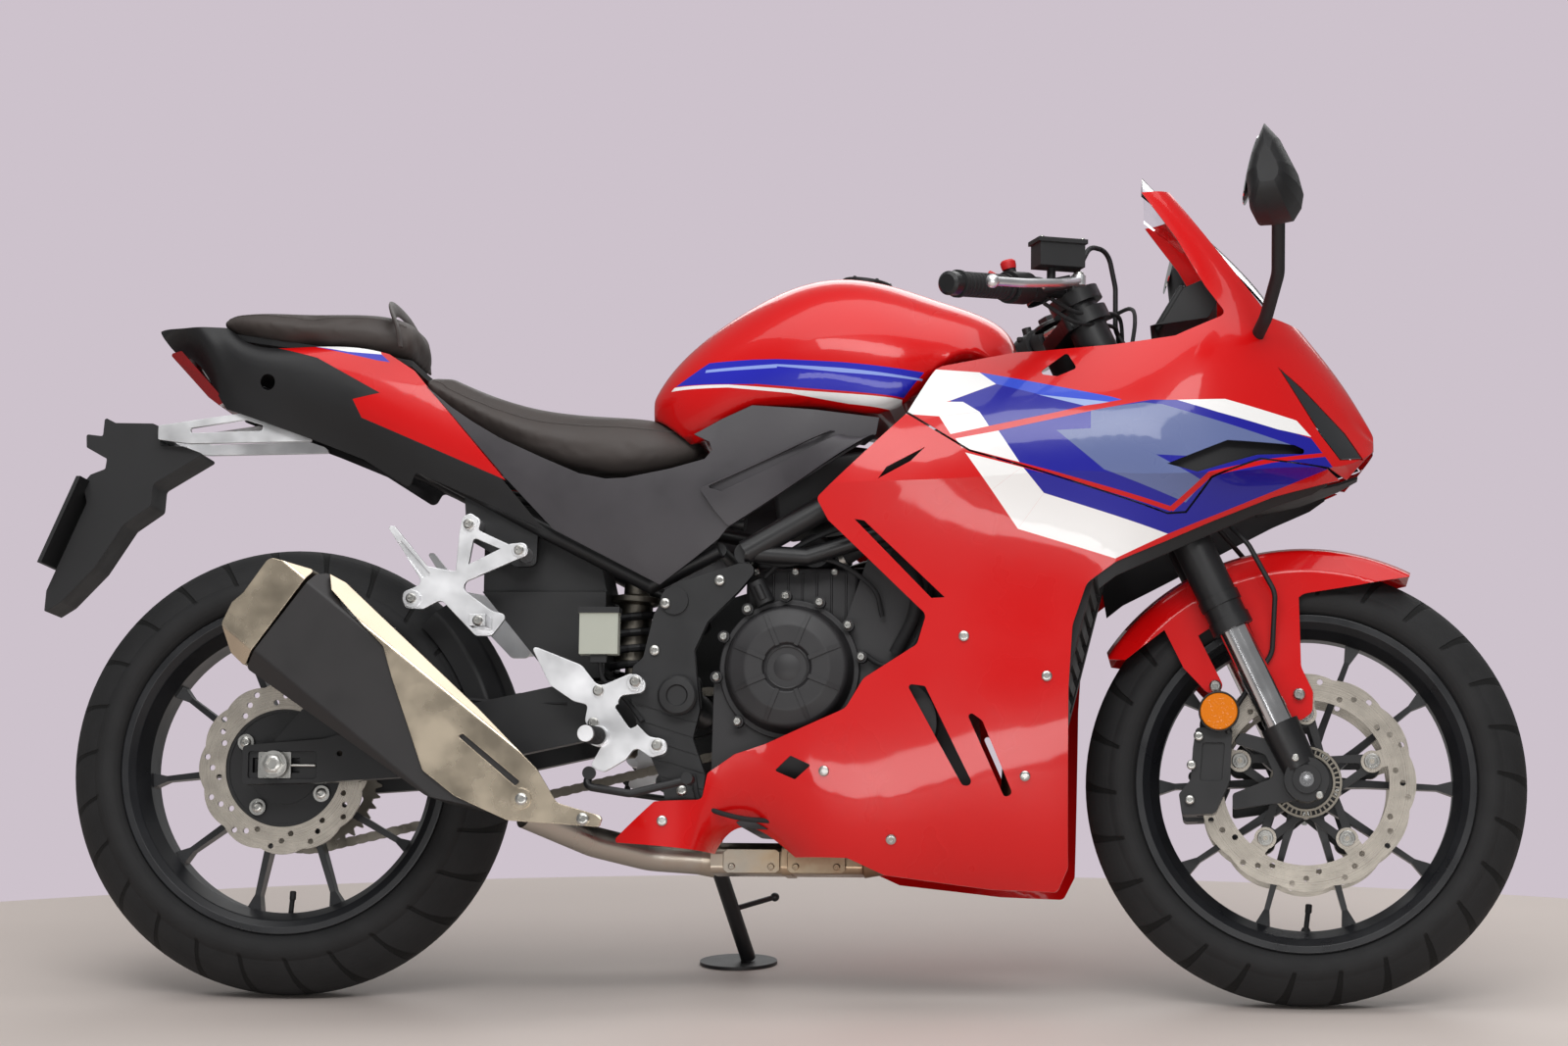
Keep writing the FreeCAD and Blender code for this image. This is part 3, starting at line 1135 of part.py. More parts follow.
def fender():
    """The front mudguard: a revolved arch, trimmed in side view, with two stays on each side."""
    at = front_axle
    crown = front_tyre_r + 12
    half, inner = fender_half, fender_half - 3
    profile = [(-half, crown - 66), (-half, crown - 24, 10), (-54, crown + 6, 16), (0, crown + 16, 50),
               (54, crown + 6, 16), (half, crown - 24, 10), (half, crown - 66), (inner, crown - 66),
               (inner, crown - 24, 8), (52, crown + 2.5, 14), (0, crown + 12.5, 50), (-52, crown + 2.5, 14),
               (-inner, crown - 24, 8), (-inner, crown - 66)]
    wire = rounded(profile, lambda y, r: V(at.x, y, at.z + r))
    face = Part.Face(wire)
    face.rotate(at, V(0, 1, 0), 32)
    arch = face.revolve(at, V(0, -1, 0), 104)
    trim = plate([(846, 583), (777, 570, 40), (696, 557, 20), (690, 540), (560, 500), (552, 516), (546, 538, 10), (514, 508, 10),
                  (461, 467, 4), (438, 469), (400, 600), (600, 700), (880, 700)], -90, 90)
    arch = arch.common(trim)
    front_stay = plate([(590, 600), (606, 568), (668, 423), (692, 380, 12), (714, 396, 12), (715, 424, 12),
                        (699, 458, 20), (696, 560, 20), (720, 600)], fender_half - 2.1, fender_half)
    rear_stay = plate([(500, 560), (514, 508, 10), (540, 456), (572, 422, 10), (598, 423, 10), (590, 440),
                       (552, 516, 20), (546, 560)], fender_half - 2.1, fender_half)
    limit = disc(at.x, at.z, 0, 90, crown - 26)
    stays = front_stay.fuse(rear_stay).common(limit)
    for x, z in ((697, 420), (583, 431)):
        stays = stays.fuse(disc(x, z, fender_half - 2.1, fender_half + 2.5, 8))
    save("front_fender", one(arch.fuse([stays, mirror(stays)])))


def brakes():
    body = plate(caliper_outline, 44, 102)
    body = body.cut(disc(front_axle.x, front_axle.z, front_disc_y - 9, front_disc_y + 9, front_disc_r + 6))
    body = body.cut(disc(front_axle.x, front_axle.z, 40, front_disc_y - 8, 96))
    body = body.cut(plate([(566, 352, 4), (596, 352, 4), (592, 300, 4), (562, 300, 4)], 98, 104))
    for x, z in ((560, 361), (551, 322), (548, 272)):
        body = body.fuse(disc(x, z, 96, 105, 6))
    save("front_calipers", pair(largest(body)))
    at = rear_axle
    jaw = plate([(-676, 398, 8), (-660, 436, 10), (-618, 446, 12), (-580, 420, 12), (-592, 384, 8), (-640, 380, 8)],
                -92, -42)
    jaw = jaw.cut(disc(at.x, at.z, -rear_disc_y - 7.5, -rear_disc_y + 7.5, rear_disc_r + 6))
    jaw = jaw.cut(disc(at.x, at.z, -rear_disc_y - 7.6, -41, 96))
    hanger = plate([(at.x - 20, at.z - 18, 12), (at.x + 22, at.z - 18, 12), (-600, 380, 8), (-592, 410, 8),
                    (-650, 420, 8), (at.x - 20, at.z + 20, 12)], -arm_in + gap, -91.9)
    hanger = hanger.cut(disc(at.x, at.z, -110, -80, axle_r + hub_clear))
    tray = box(-277, -224, -172, -150, 463, 519).fuse(box(-279, -222, -174, -148, 519, 527))
    tray = tray.fuse(box(-262, -240, -166, -156, 452, 464))
    save("rear_brake", Part.makeCompound([largest(jaw.fuse(hanger)), one(tray)]))


hanger_edge = [(-341, 472, 3), (-331, 470, 4), (-272, 447, 16), (-248, 417, 14), (-204, 436, 10), (-184, 426, 9),
               (-184, 410, 10), (-232, 404, 10), (-178, 350, 16), (-155, 346, 9), (-152, 328, 9), (-174, 322, 8),
               (-196, 336, 8), (-209, 319, 6), (-238, 302, 6), (-258, 308, 6), (-240, 341, 8), (-266, 370, 10),
               (-262, 393, 6), (-282, 398, 8), (-315, 420, 16)]
pillion_lower = [(-551, 642, 3), (-541, 642, 3), (-494, 586, 10), (-456, 579, 10), (-379, 617, 8), (-357, 619, 8),
                 (-353, 602, 8), (-368, 596, 8), (-452, 560, 10), (-402, 524, 8), (-380, 519, 6), (-402, 490, 8),
                 (-424, 490, 8), (-473, 540, 10), (-498, 527, 6), (-524, 528, 8), (-528, 550, 8), (-499, 562, 8)]
pillion_upper = [(-446, 655, 8), (-435, 660, 8), (-420, 650, 8), (-424, 636, 4), (-372, 612), (-378, 604),
                 (-430, 626, 4), (-438, 580), (-454, 580), (-450, 634, 4)]


def footpegs():
    hanger = plate(hanger_edge, 170, 179)
    hanger = hanger.cut(plate([(-228, 394, 4), (-214, 394, 4), (-192, 366, 4), (-204, 360, 4)], 165, 185))
    peg = rod(V(-246, 175, 350), V(-252, 262, 347), 11).fuse(rod(V(-246, 172, 350), V(-247, 190, 350), 14))
    spots = ((-198, 423), (-166, 337))
    feet = [disc(x, z, 150 + gap, 183, 11) for x, z in spots]
    hanger = hanger.fuse([peg] + feet)
    save("foot_hangers", pair(one(hanger)))
    arm = plate(pillion_lower, 140, 148).fuse(plate(pillion_upper, 140, 148))
    arm = arm.cut(plate([(-532, 622, 2), (-488, 574, 3), (-500, 570, 3), (-538, 618, 2)], 143, 150))
    spots = ((-435, 648), (-366, 608))
    feet = [disc(x, z, 92 + gap, 150, 10) for x, z in spots]
    stub = disc(-514, 541, 136, 154, 12)
    peg = box(-424, -402, 141, 200, 498, 514)
    save("pillion_hangers", pair(one(arm.fuse(feet + [stub, peg]))))
    pedal = bent([V(-258, -176, 300), V(-262, -184, 282), V(-200, -190, 272), V(-118, -192, 292)], 20, 5.5)
    pad = rod(V(-122, -206, 292), V(-122, -178, 292), 8)
    pedal = pedal.fuse([pad, rod(V(-258, -186, 300), V(-258, -179 - gap, 300), 9)])
    lever = bent([V(-258, 196, 316), V(-262, 192, 300), V(-200, 192, 292), V(-112, 196, 302)], 20, 4.5)
    lever = lever.fuse([rod(V(-116, 192, 301), V(-116, 226, 301), 8), rod(V(-258, 179 + gap, 318), V(-258, 196, 318), 8)])
    save("foot_levers", Part.makeCompound([largest(pedal), largest(lever)]))


def side_stand():
    floor_z = stand_foot_y * math.tan(math.radians(lean))
    foot = V(stand_foot_x, stand_foot_y, floor_z + 8)
    way = (foot - stand_pivot).normalize()
    leg = rod(stand_pivot + way * 12, foot, 7.5).fuse(rod(stand_pivot + way * 32, foot, 11))
    pad = Part.makeCylinder(56, 5, V(0, 0, 0), V(0, 0, 1))
    pad.Placement = FreeCAD.Placement(V(stand_foot_x - 14, stand_foot_y, floor_z),
                                      FreeCAD.Rotation(V(1, 0, 0), lean))
    eye = rod(stand_pivot - stand_axis * 8, stand_pivot + stand_axis * 8, 16)
    hole = rod(stand_pivot - stand_axis * 20, stand_pivot + stand_axis * 20, stand_bolt_r + hub_clear)
    tang_root = stand_pivot + way * 128
    tang_tip = tang_root + V(58, 34, 20)
    tang = rod(tang_root, tang_tip, 4).fuse(Part.makeSphere(6.5, tang_tip))
    save("side_stand", one(leg.fuse([pad, eye, tang]).cut(hole)))


front_wheel()
rear_wheel()
fork()
steering_stem()
controls()
frame()
pivot_plates()
seat_rails()
engine()
engine_covers()
radiator()
swingarm()
chain()
exhaust()
side_cowls()
upper_cowl()
headlamps()
inner_panels()
windscreen()
tank()
seats()
tail()
side_covers()
plate_carrier()
mirrors()
fender()
brakes()
footpegs()
side_stand()
print("done")
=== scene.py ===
import bpy
import bmesh
import math
from mathutils import Matrix, Vector
from mathutils.bvhtree import BVHTree


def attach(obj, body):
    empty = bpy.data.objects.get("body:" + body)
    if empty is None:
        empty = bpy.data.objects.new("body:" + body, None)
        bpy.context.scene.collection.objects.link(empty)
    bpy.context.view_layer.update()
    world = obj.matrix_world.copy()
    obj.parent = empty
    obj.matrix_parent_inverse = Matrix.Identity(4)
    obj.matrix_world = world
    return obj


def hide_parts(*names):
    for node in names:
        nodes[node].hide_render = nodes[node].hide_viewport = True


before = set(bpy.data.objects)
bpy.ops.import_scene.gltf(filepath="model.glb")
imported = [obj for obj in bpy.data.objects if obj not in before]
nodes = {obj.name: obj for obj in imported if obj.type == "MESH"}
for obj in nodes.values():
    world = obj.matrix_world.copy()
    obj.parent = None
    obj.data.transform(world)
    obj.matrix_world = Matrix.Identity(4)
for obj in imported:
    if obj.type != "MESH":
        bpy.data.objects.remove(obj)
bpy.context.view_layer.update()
scene = bpy.context.scene
scene.view_settings.view_transform = "Standard"
print("frame loaded:", len(nodes), "nodes")

# the machine's own upright frame, in millimetres: it leans on its stand, so pieces are drawn upright and leant last
pose = {"lean": 12.0, "shift": (0.028877, -0.206163, 0.0)}
leant = Matrix.Translation(pose["shift"]) @ Matrix.Rotation(math.radians(-pose["lean"]), 4, "X")
toRow = leant @ Matrix.Scale(0.001, 4)
toBike = toRow.inverted()


# camera at the photograph's own angle: place in metres, turns in degrees, lens in millimetres
camera = {"place": (0.6314, -5.8316, 1.0648), "yaw": 6.14, "pitch": -4.08, "roll": -0.52, "lens": 95.32}


def makeCamera(c):
    data = bpy.data.cameras.new("camera")
    data.lens = c["lens"]
    data.sensor_width = 36.0
    eye = bpy.data.objects.new("camera", data)
    scene.collection.objects.link(eye)
    turn = Matrix.Rotation(math.radians(c["yaw"]), 4, "Z")
    turn = turn @ Matrix.Rotation(math.radians(90 + c["pitch"]), 4, "X")
    turn = turn @ Matrix.Rotation(math.radians(c["roll"]), 4, "Z")
    eye.matrix_world = Matrix.Translation(c["place"]) @ turn
    scene.camera = eye


makeCamera(camera)


# colours as sRGB hex, turned to linear once
def colour(text):
    parts = [int(text[i:i + 2], 16) / 255 for i in (0, 2, 4)]
    return [p / 12.92 if p <= 0.04045 else ((p + 0.055) / 1.055) ** 2.4 for p in parts] + [1.0]


# one node of a material, with its settings and what feeds it; inputs go by name or by number
def node(tree, kind, settings=None, links=None):
    made = tree.nodes.new("ShaderNode" + kind)
    for name, value in (settings or {}).items():
        if isinstance(name, int) or name in made.inputs:
            made.inputs[name].default_value = value
        else:
            setattr(made, name, value)
    for name, source in (links or {}).items():
        tree.links.new(source.outputs[0] if hasattr(source, "outputs") else source, made.inputs[name])
    return made


def material(name, **sockets):
    made = bpy.data.materials.new(name)
    made.use_nodes = True
    shader = made.node_tree.nodes["Principled BSDF"]
    for key, value in sockets.items():
        shader.inputs[key.replace("_", " ")].default_value = value
    return made, made.node_tree, shader


def feed(tree, source, shader, socket="Roughness"):
    tree.links.new(source.outputs[0], shader.inputs[socket])


# object coordinates turned back to the machine's upright frame, in metres
def bikeCoords(tree):
    place = node(tree, "TexCoord").outputs["Object"]
    turned = Matrix.Rotation(math.radians(pose["lean"]), 4, "X") @ Vector([-v for v in pose["shift"]])
    return node(tree, "Mapping", {"Rotation": (math.radians(pose["lean"]), 0, 0), "Location": turned},
                {"Vector": place})


# a noise of a real size in millimetres, read from the object's own coordinates
def noise(tree, size, detail=4.0, rough=0.55):
    place = node(tree, "TexCoord").outputs["Object"]
    return node(tree, "TexNoise", {"Scale": 1000.0 / size, "Detail": detail, "Roughness": rough},
                {"Vector": place})


# the value of a source spread over a new range
def spread(tree, source, low, high, start=0.3, end=0.7):
    return node(tree, "MapRange", {"From Min": start, "From Max": end, "To Min": low, "To Max": high},
                {"Value": source})


def bump(tree, shader, height, distance, strength=1.0, rounding=0.0):
    made = node(tree, "Bump", {"Strength": strength, "Distance": distance}, {"Height": height})
    if rounding:
        soft = node(tree, "Bevel", {"Radius": rounding, "samples": 3})
        feed(tree, soft, made, "Normal")
    feed(tree, made, shader, "Normal")


# a finish with uneven gloss, a fine grain and softly rounded edges
def finish(name, base, rough, metal=0.0, grain=0.6, depth=0.00006, patch=60.0, vary=0.06, rounding=0.0006, shade=0.12,
           **more):
    made, tree, shader = material(name, Metallic=metal, **more)
    cloud = noise(tree, patch, 3.0)
    fine = noise(tree, grain, 2.0)
    tone = spread(tree, cloud, 1.0 - shade, 1.0 + shade)
    scaled = node(tree, "VectorMath", {"operation": "SCALE", 0: colour(base)[:3]}, {"Scale": tone})
    feed(tree, scaled, shader, "Base Color")
    feed(tree, spread(tree, cloud, max(rough - vary, 0.02), rough + vary), shader)
    bump(tree, shader, fine.outputs[0], depth, 0.6, rounding)
    return made


def assign(obj, mat):
    obj.data.materials.clear()
    obj.data.materials.append(mat)


# how far inside a convex side-view outline a point is, in metres, positive inside
def inside(tree, axes, outline):
    middle = Vector([sum(p[i] for p in outline) / len(outline) for i in (0, 1)])
    result = None
    for (ax, az), (bx, bz) in zip(outline, outline[1:] + outline[:1]):
        way = Vector((bz - az, ax - bx)).normalized()
        reach = way.x * ax + way.y * az
        if way.dot(middle) > reach:
            way, reach = -way, -reach
        part = node(tree, "Math", {"operation": "MULTIPLY_ADD", 1: -way.y, 2: reach / 1000}, {0: axes.outputs["Z"]})
        part = node(tree, "Math", {"operation": "MULTIPLY_ADD", 1: -way.x}, {0: axes.outputs["X"], 2: part})
        if result is None:
            result = part
        else:
            result = node(tree, "Math", {"operation": "MINIMUM"}, {0: result, 1: part})
    return result


# paints the outlines one over another on the base colour, with edges half a millimetre soft
def graphicPaint(name, base, areas):
    made, tree, shader = material(name, Roughness=0.3, Specular_IOR_Level=0.25, Coat_Weight=0.5, Coat_Roughness=0.05)
    axes = node(tree, "SeparateXYZ", {}, {0: bikeCoords(tree)})
    current = node(tree, "RGB")
    current.outputs[0].default_value = colour(base)
    for shade, outlines in areas:
        mask = None
        for outline in outlines:
            part = inside(tree, axes, outline)
            mask = part if mask is None else node(tree, "Math", {"operation": "MAXIMUM"}, {0: mask, 1: part})
        edge = node(tree, "MapRange", {"From Min": -0.0002, "From Max": 0.0002}, {"Value": mask})
        current = node(tree, "MixRGB", {"Color2": colour(shade)}, {"Fac": edge, "Color1": current})
    feed(tree, current, shader, "Base Color")
    # light orange peel under the clear coat, and a little dust in its gloss
    peel = noise(tree, 9.0, 1.0)
    bump(tree, shader, peel.outputs[0], 0.00004, 0.35, 0.0008)
    feed(tree, spread(tree, noise(tree, 120.0, 3.0), 0.24, 0.36), shader)
    return made


graphics = {
    "cowl": [
        ("1a1a98", [[(227, 805), (289, 828), (418, 797), (282, 765)],
                    [(293, 761), (496, 804), (533, 805), (713, 764), (742, 727), (520, 627), (355, 677), (327, 711)]]),
        ("3550cf", [[(266, 846), (444, 808), (464, 802), (409, 795), (289, 828)]]),
        # the pale silver-blue strip on the bright blue stripe is a painted highlight, not a colour of the paint
        ("9db0de", [[(343, 812), (444, 800), (409, 795), (311, 821)]]),
        ("64719f", [[(372, 761), (418, 763), (505, 728), (568, 695), (544, 668), (436, 707)],
                    [(418, 789), (488, 800), (514, 798), (700, 748), (610, 727), (505, 728), (418, 762)]]),
        ("f4f3f2", [[(206, 853), (266, 846), (289, 828), (227, 805), (161, 788)],
                    [(161, 788), (214, 804), (245, 803), (268, 788), (213, 783)],
                    [(213, 783), (268, 788), (284, 763), (230, 756)],
                    [(236, 751), (294, 761), (327, 711), (285, 681), (247, 735)],
                    [(285, 681), (327, 711), (355, 677), (320, 630)],
                    [(320, 630), (355, 677), (520, 627), (450, 592)],
                    [(533, 805), (597, 809), (693, 787), (713, 766), (667, 772), (588, 790)]]),
        ("d0080a", [[(227, 757), (496, 811), (498, 804), (230, 750)], [(240, 740), (525, 662), (524, 656), (240, 734)],
                    [(521, 660), (575, 707), (579, 702), (527, 656)], [(575, 707), (653, 729), (658, 724), (578, 701)],
                    [(653, 729), (734, 746), (736, 741), (657, 724)]]),
    ],
    "tank": [
        ("2326b4", [[(-161, 844), (-112, 873), (-46, 873), (-46, 839)],
                    [(-51, 873), (-15, 872), (76, 865), (188, 853), (159, 817), (31, 831), (-50, 839)]]),
        ("8fa4ea", [[(-116, 863), (-14, 865), (-14, 860), (-117, 859)],
                    [(-15, 865), (76, 857), (186, 844), (183, 838), (76, 851), (-15, 859)]]),
        ("f4f3f2", [[(-168, 838), (-163, 843), (-82, 840), (-82, 836)], [(-83, 836), (-83, 840), (9, 830), (9, 825)],
                    [(6, 830), (158, 816), (155, 801), (85, 810), (6, 825)]]),
    ],
    "tail": [
        ("2326b4", [[(-741, 914), (-709, 914), (-681, 907)],
                    [(-709, 914), (-576, 891), (-563, 879), (-611, 887), (-681, 907)]]),
        ("f4f3f2", [[(-716, 916), (-653, 911), (-580, 900), (-576, 891), (-625, 896), (-702, 911)]]),
    ],
}
red = "d0080a"
# gloss two-coat paint on moulded ABS panels, with the stripes painted in under the clear coat; the cowl's set also
# holds a painted highlight
cowlPaint = graphicPaint("redGlossPaintStripedPaintedHighlight", red, graphics["cowl"])
tankPaint = graphicPaint("redTankPaintStriped", red, graphics["tank"])
tailPaint = graphicPaint("redTailPaintStriped", red, graphics["tail"])
plainPaint = graphicPaint("redGlossPaintPlain", red, [])
# satin powder coat on steel tubes and cast frame plates: soft even highlights
blackMetal = finish("blackPowderCoat", "161618", 0.42, grain=0.9, depth=0.00004)
# rougher black coat on the engine's castings, a touch lighter than the frame
engineBlack = finish("blackCrinkleCoat", "262527", 0.5, grain=1.6, depth=0.00012)
# fine-grained moulded polypropylene, dull, and a smoother grey one under the seat
blackPlastic = finish("grainedBlackPlastic", "151517", 0.55, grain=0.7, depth=0.00007, rounding=0.001)
sidePlastic = finish("satinGreyPlastic", "39363a", 0.44, grain=0.8, depth=0.00005, rounding=0.0012)
# gloss dark paint on cast wheels
wheelPaint = finish("darkWheelPaint", "1d1e21", 0.32, grain=4.0, depth=0.00002, rounding=0.0012)
# hard chrome on the fork's tubes: a clear mirror with faint streaks
chrome = finish("hardChrome", "d6d6d8", 0.14, 1.0, grain=8.0, depth=0.00001, vary=0.04)
# sand-cast and polished aluminium: bright, with a fine grain
castAluminium = finish("brightCastAluminium", "ececee", 0.36, 1.0, grain=1.2, depth=0.00005, rounding=0.0012)
# zinc plate on screws, oil on the chain, brushed and lacquered steel on the silencer
zincSteel = finish("zincPlatedSteel", "bdbcb8", 0.3, 1.0, grain=1.0, depth=0.00002)
darkSteel = finish("oiledChainSteel", "8b857b", 0.4, 1.0, grain=2.0, depth=0.00004)
champagne = finish("brushedChampagneSteel", "c9bba6", 0.27, 1.0, grain=1.5, depth=0.00002, rounding=0.0015)
# heatproof paint, without shine
canBlack = finish("matteHeatproofBlack", "222021", 0.48, grain=0.8, depth=0.00003, rounding=0.0015)
# moulded rubber, almost without gloss
gripRubber = finish("mouldedGripRubber", "18181a", 0.72, grain=1.2, depth=0.00012)


# offsets from a wheel's axle in the side view, and the radius from it, in metres
def roundAxle(tree, axes, at):
    dx, dz = (node(tree, "Math", {"operation": "SUBTRACT", 1: centre}, {0: axes.outputs[name]})
              for name, centre in zip("XZ", at))
    flat = node(tree, "CombineXYZ", {}, {0: dx, 1: dz})
    return dx, dz, node(tree, "VectorMath", {"operation": "LENGTH"}, {0: flat}).outputs["Value"]


# brake steel, ground in circles round its own wheel, so the light fans out from the hub
def discSteel(name, at):
    made, tree, shader = material(name, Metallic=1.0, Roughness=0.3)
    axes = node(tree, "SeparateXYZ", {}, {0: bikeCoords(tree)})
    _, _, radius = roundAxle(tree, axes, at)
    lines = node(tree, "TexNoise", {"noise_dimensions": "1D", "Scale": 1400.0, "Detail": 3.0}, {"W": radius})
    cloud = noise(tree, 25.0, 3.0)
    tone = spread(tree, cloud, 0.82, 1.08)
    shade = node(tree, "VectorMath", {"operation": "SCALE", 0: colour("bdb5aa")[:3]}, {"Scale": tone})
    feed(tree, shade, shader, "Base Color")
    feed(tree, spread(tree, lines.outputs[0], 0.24, 0.42), shader)
    bump(tree, shader, lines.outputs[0], 0.00003, 0.5)
    return made


# stainless pipe, tinted straw and then brown where it runs hot towards the front
def hotPipe():
    made, tree, shader = material("heatTintedSteel", Metallic=1.0, Roughness=0.32)
    axes = node(tree, "SeparateXYZ", {}, {0: bikeCoords(tree)})
    cloud = noise(tree, 70.0, 4.0)
    heat = node(tree, "Math", {"operation": "MULTIPLY_ADD", 1: 2.4, 2: 0.2}, {0: axes.outputs["X"]})
    heat = node(tree, "Math", {"operation": "ADD"}, {0: heat, 1: cloud})
    ramp = node(tree, "ValToRGB", {}, {"Fac": heat})
    stops = ((0.35, "b5aea4"), (0.75, "a8947c"), (0.95, "8d6f58"))
    ramp.color_ramp.elements[0].position, ramp.color_ramp.elements[0].color = stops[0][0], colour(stops[0][1])
    ramp.color_ramp.elements[1].position, ramp.color_ramp.elements[1].color = stops[2][0], colour(stops[2][1])
    ramp.color_ramp.elements.new(stops[1][0]).color = colour(stops[1][1])
    feed(tree, ramp, shader, "Base Color")
    feed(tree, spread(tree, cloud, 0.25, 0.4), shader)
    bump(tree, shader, noise(tree, 1.0, 2.0).outputs[0], 0.00003, 0.5)
    return made


# tyre rubber whose tread has curved slanting grooves cut in it, darkened with painted shade, with plain walls
def tyreRubber(name, at, crown, flip):
    made, tree, shader = material(name, Roughness=0.78, Specular_IOR_Level=0.35)
    axes = node(tree, "SeparateXYZ", {}, {0: bikeCoords(tree)})
    dx, dz, radius = roundAxle(tree, axes, at)
    angle = node(tree, "Math", {"operation": "ARCTAN2"}, {0: dx, 1: dz})
    side = node(tree, "Math", {"operation": "ABSOLUTE"}, {0: axes.outputs["Y"]})
    # each groove bends back as it nears the shoulder
    bent = node(tree, "Math", {"operation": "POWER", 1: 1.6}, {0: side})
    bent = node(tree, "Math", {"operation": "MULTIPLY", 1: 22.0 * flip}, {0: bent})
    even = node(tree, "Math", {"operation": "GREATER_THAN", 1: 0.0}, {0: axes.outputs["Y"]})
    turn = node(tree, "Math", {"operation": "MULTIPLY_ADD", 1: 26 / (2 * math.pi)}, {0: angle, 2: bent})
    turn = node(tree, "Math", {"operation": "MULTIPLY_ADD", 1: 0.5}, {0: even, 2: turn})
    cell = node(tree, "Math", {"operation": "FRACT"}, {0: turn})
    gap = node(tree, "Math", {"operation": "SUBTRACT", 1: 0.5}, {0: cell})
    gap = node(tree, "Math", {"operation": "ABSOLUTE"}, {0: gap})
    wide = node(tree, "MapRange", {"From Min": 0.012, "From Max": 0.06, "To Min": 0.12, "To Max": 0.05},
                {"Value": side})
    groove = node(tree, "Math", {"operation": "SUBTRACT"}, {0: wide, 1: gap})
    groove = node(tree, "MapRange", {"From Min": 0.0, "From Max": 0.02}, {"Value": groove})
    inner = node(tree, "MapRange", {"From Min": 0.008, "From Max": 0.012}, {"Value": side})
    outer = node(tree, "MapRange", {"From Min": crown, "From Max": crown + 0.004}, {"Value": radius})
    mask = node(tree, "Math", {"operation": "MULTIPLY"}, {0: groove, 1: inner})
    mask = node(tree, "Math", {"operation": "MULTIPLY"}, {0: mask, 1: outer})
    # fine rings on the wall, and the wear line of the tread
    rings = node(tree, "TexNoise", {"noise_dimensions": "1D", "Scale": 420.0, "Detail": 1.0}, {"W": radius})
    cloud = noise(tree, 40.0, 5.0)
    fine = noise(tree, 0.9, 3.0)
    base = node(tree, "MixRGB", {"Color1": colour("1a1a1b"), "Color2": colour("29292a")}, {"Fac": cloud})
    # near black in the grooves: painted shade in the tread's recesses, over the same rubber
    base = node(tree, "MixRGB", {"Color2": colour("060606")}, {"Fac": mask, "Color1": base})
    feed(tree, base, shader, "Base Color")
    low = node(tree, "Math", {"operation": "MULTIPLY", 1: -1.0}, {0: mask})
    height = node(tree, "Math", {"operation": "MULTIPLY_ADD", 1: 0.05}, {0: fine, 2: low})
    height = node(tree, "Math", {"operation": "MULTIPLY_ADD", 1: 0.12}, {0: rings, 2: height})
    bump(tree, shader, height.outputs[0], 0.003, 0.9)
    return made


# grained synthetic leather: cells about a millimetre wide, with dull gloss on their backs
def seatVinyl():
    made, tree, shader = material("seatVinyl", Roughness=0.58, Specular_IOR_Level=0.4)
    place = node(tree, "TexCoord").outputs["Object"]
    cells = node(tree, "TexVoronoi", {"Scale": 900.0, "feature": "DISTANCE_TO_EDGE"}, {"Vector": place})
    cloud = noise(tree, 60.0, 3.0)
    base = node(tree, "MixRGB", {"Color1": colour("3a3432"), "Color2": colour("4a4340")}, {"Fac": cloud})
    feed(tree, base, shader, "Base Color")
    feed(tree, spread(tree, cloud, 0.48, 0.66), shader)
    bump(tree, shader, cells.outputs["Distance"], 0.0002, 0.35)
    return made


wheels = {"front": (0.705, 0.30134), "rear": (-0.705, 0.31379)}
frontDisc = discSteel("groundDiscSteelFront", wheels["front"])
rearDisc = discSteel("groundDiscSteelRear", wheels["rear"])
steelPipe = hotPipe()
frontRubber = tyreRubber("tyreRubberFront", wheels["front"], 0.256, 1)
rearRubber = tyreRubber("tyreRubberRear", wheels["rear"], 0.262, -1)
seatCover = seatVinyl()
# clear and tinted mouldings: the screen, lamps, lenses and reflectors
clearScreen, _, _ = material("clearAcrylic", Base_Color=colour("f6f8fa"), Roughness=0.02, Transmission_Weight=1.0,
                             IOR=1.3)
lampGlass, _, _ = material("smokedPolycarbonate", Base_Color=colour("24262b"), Roughness=0.04, Coat_Weight=1.0,
                           Transmission_Weight=0.4)
redLens, _, _ = material("redAcrylic", Base_Color=colour("96090e"), Roughness=0.08, Coat_Weight=0.6,
                         Transmission_Weight=0.25)
amberLens, amberTree, amberShader = material("amberAcrylic", Base_Color=colour("e07a10"), Roughness=0.12)
bump(amberTree, amberShader, node(amberTree, "TexVoronoi", {"Scale": 260.0}, {
    "Vector": node(amberTree, "TexCoord").outputs["Object"]}).outputs["Distance"], 0.0006, 0.8)
# back-silvered glass, milky nylon of the brake cup, and red switch plastic
mirrorGlass, _, _ = material("silveredGlass", Base_Color=colour("eef0f2"), Roughness=0.02, Metallic=1.0)
boxPlastic, _, _ = material("milkyNylon", Base_Color=colour("c9ccbf"), Roughness=0.4, Transmission_Weight=0.3)
redKnob = finish("redMouldedPlastic", "c4181c", 0.4, grain=1.0)

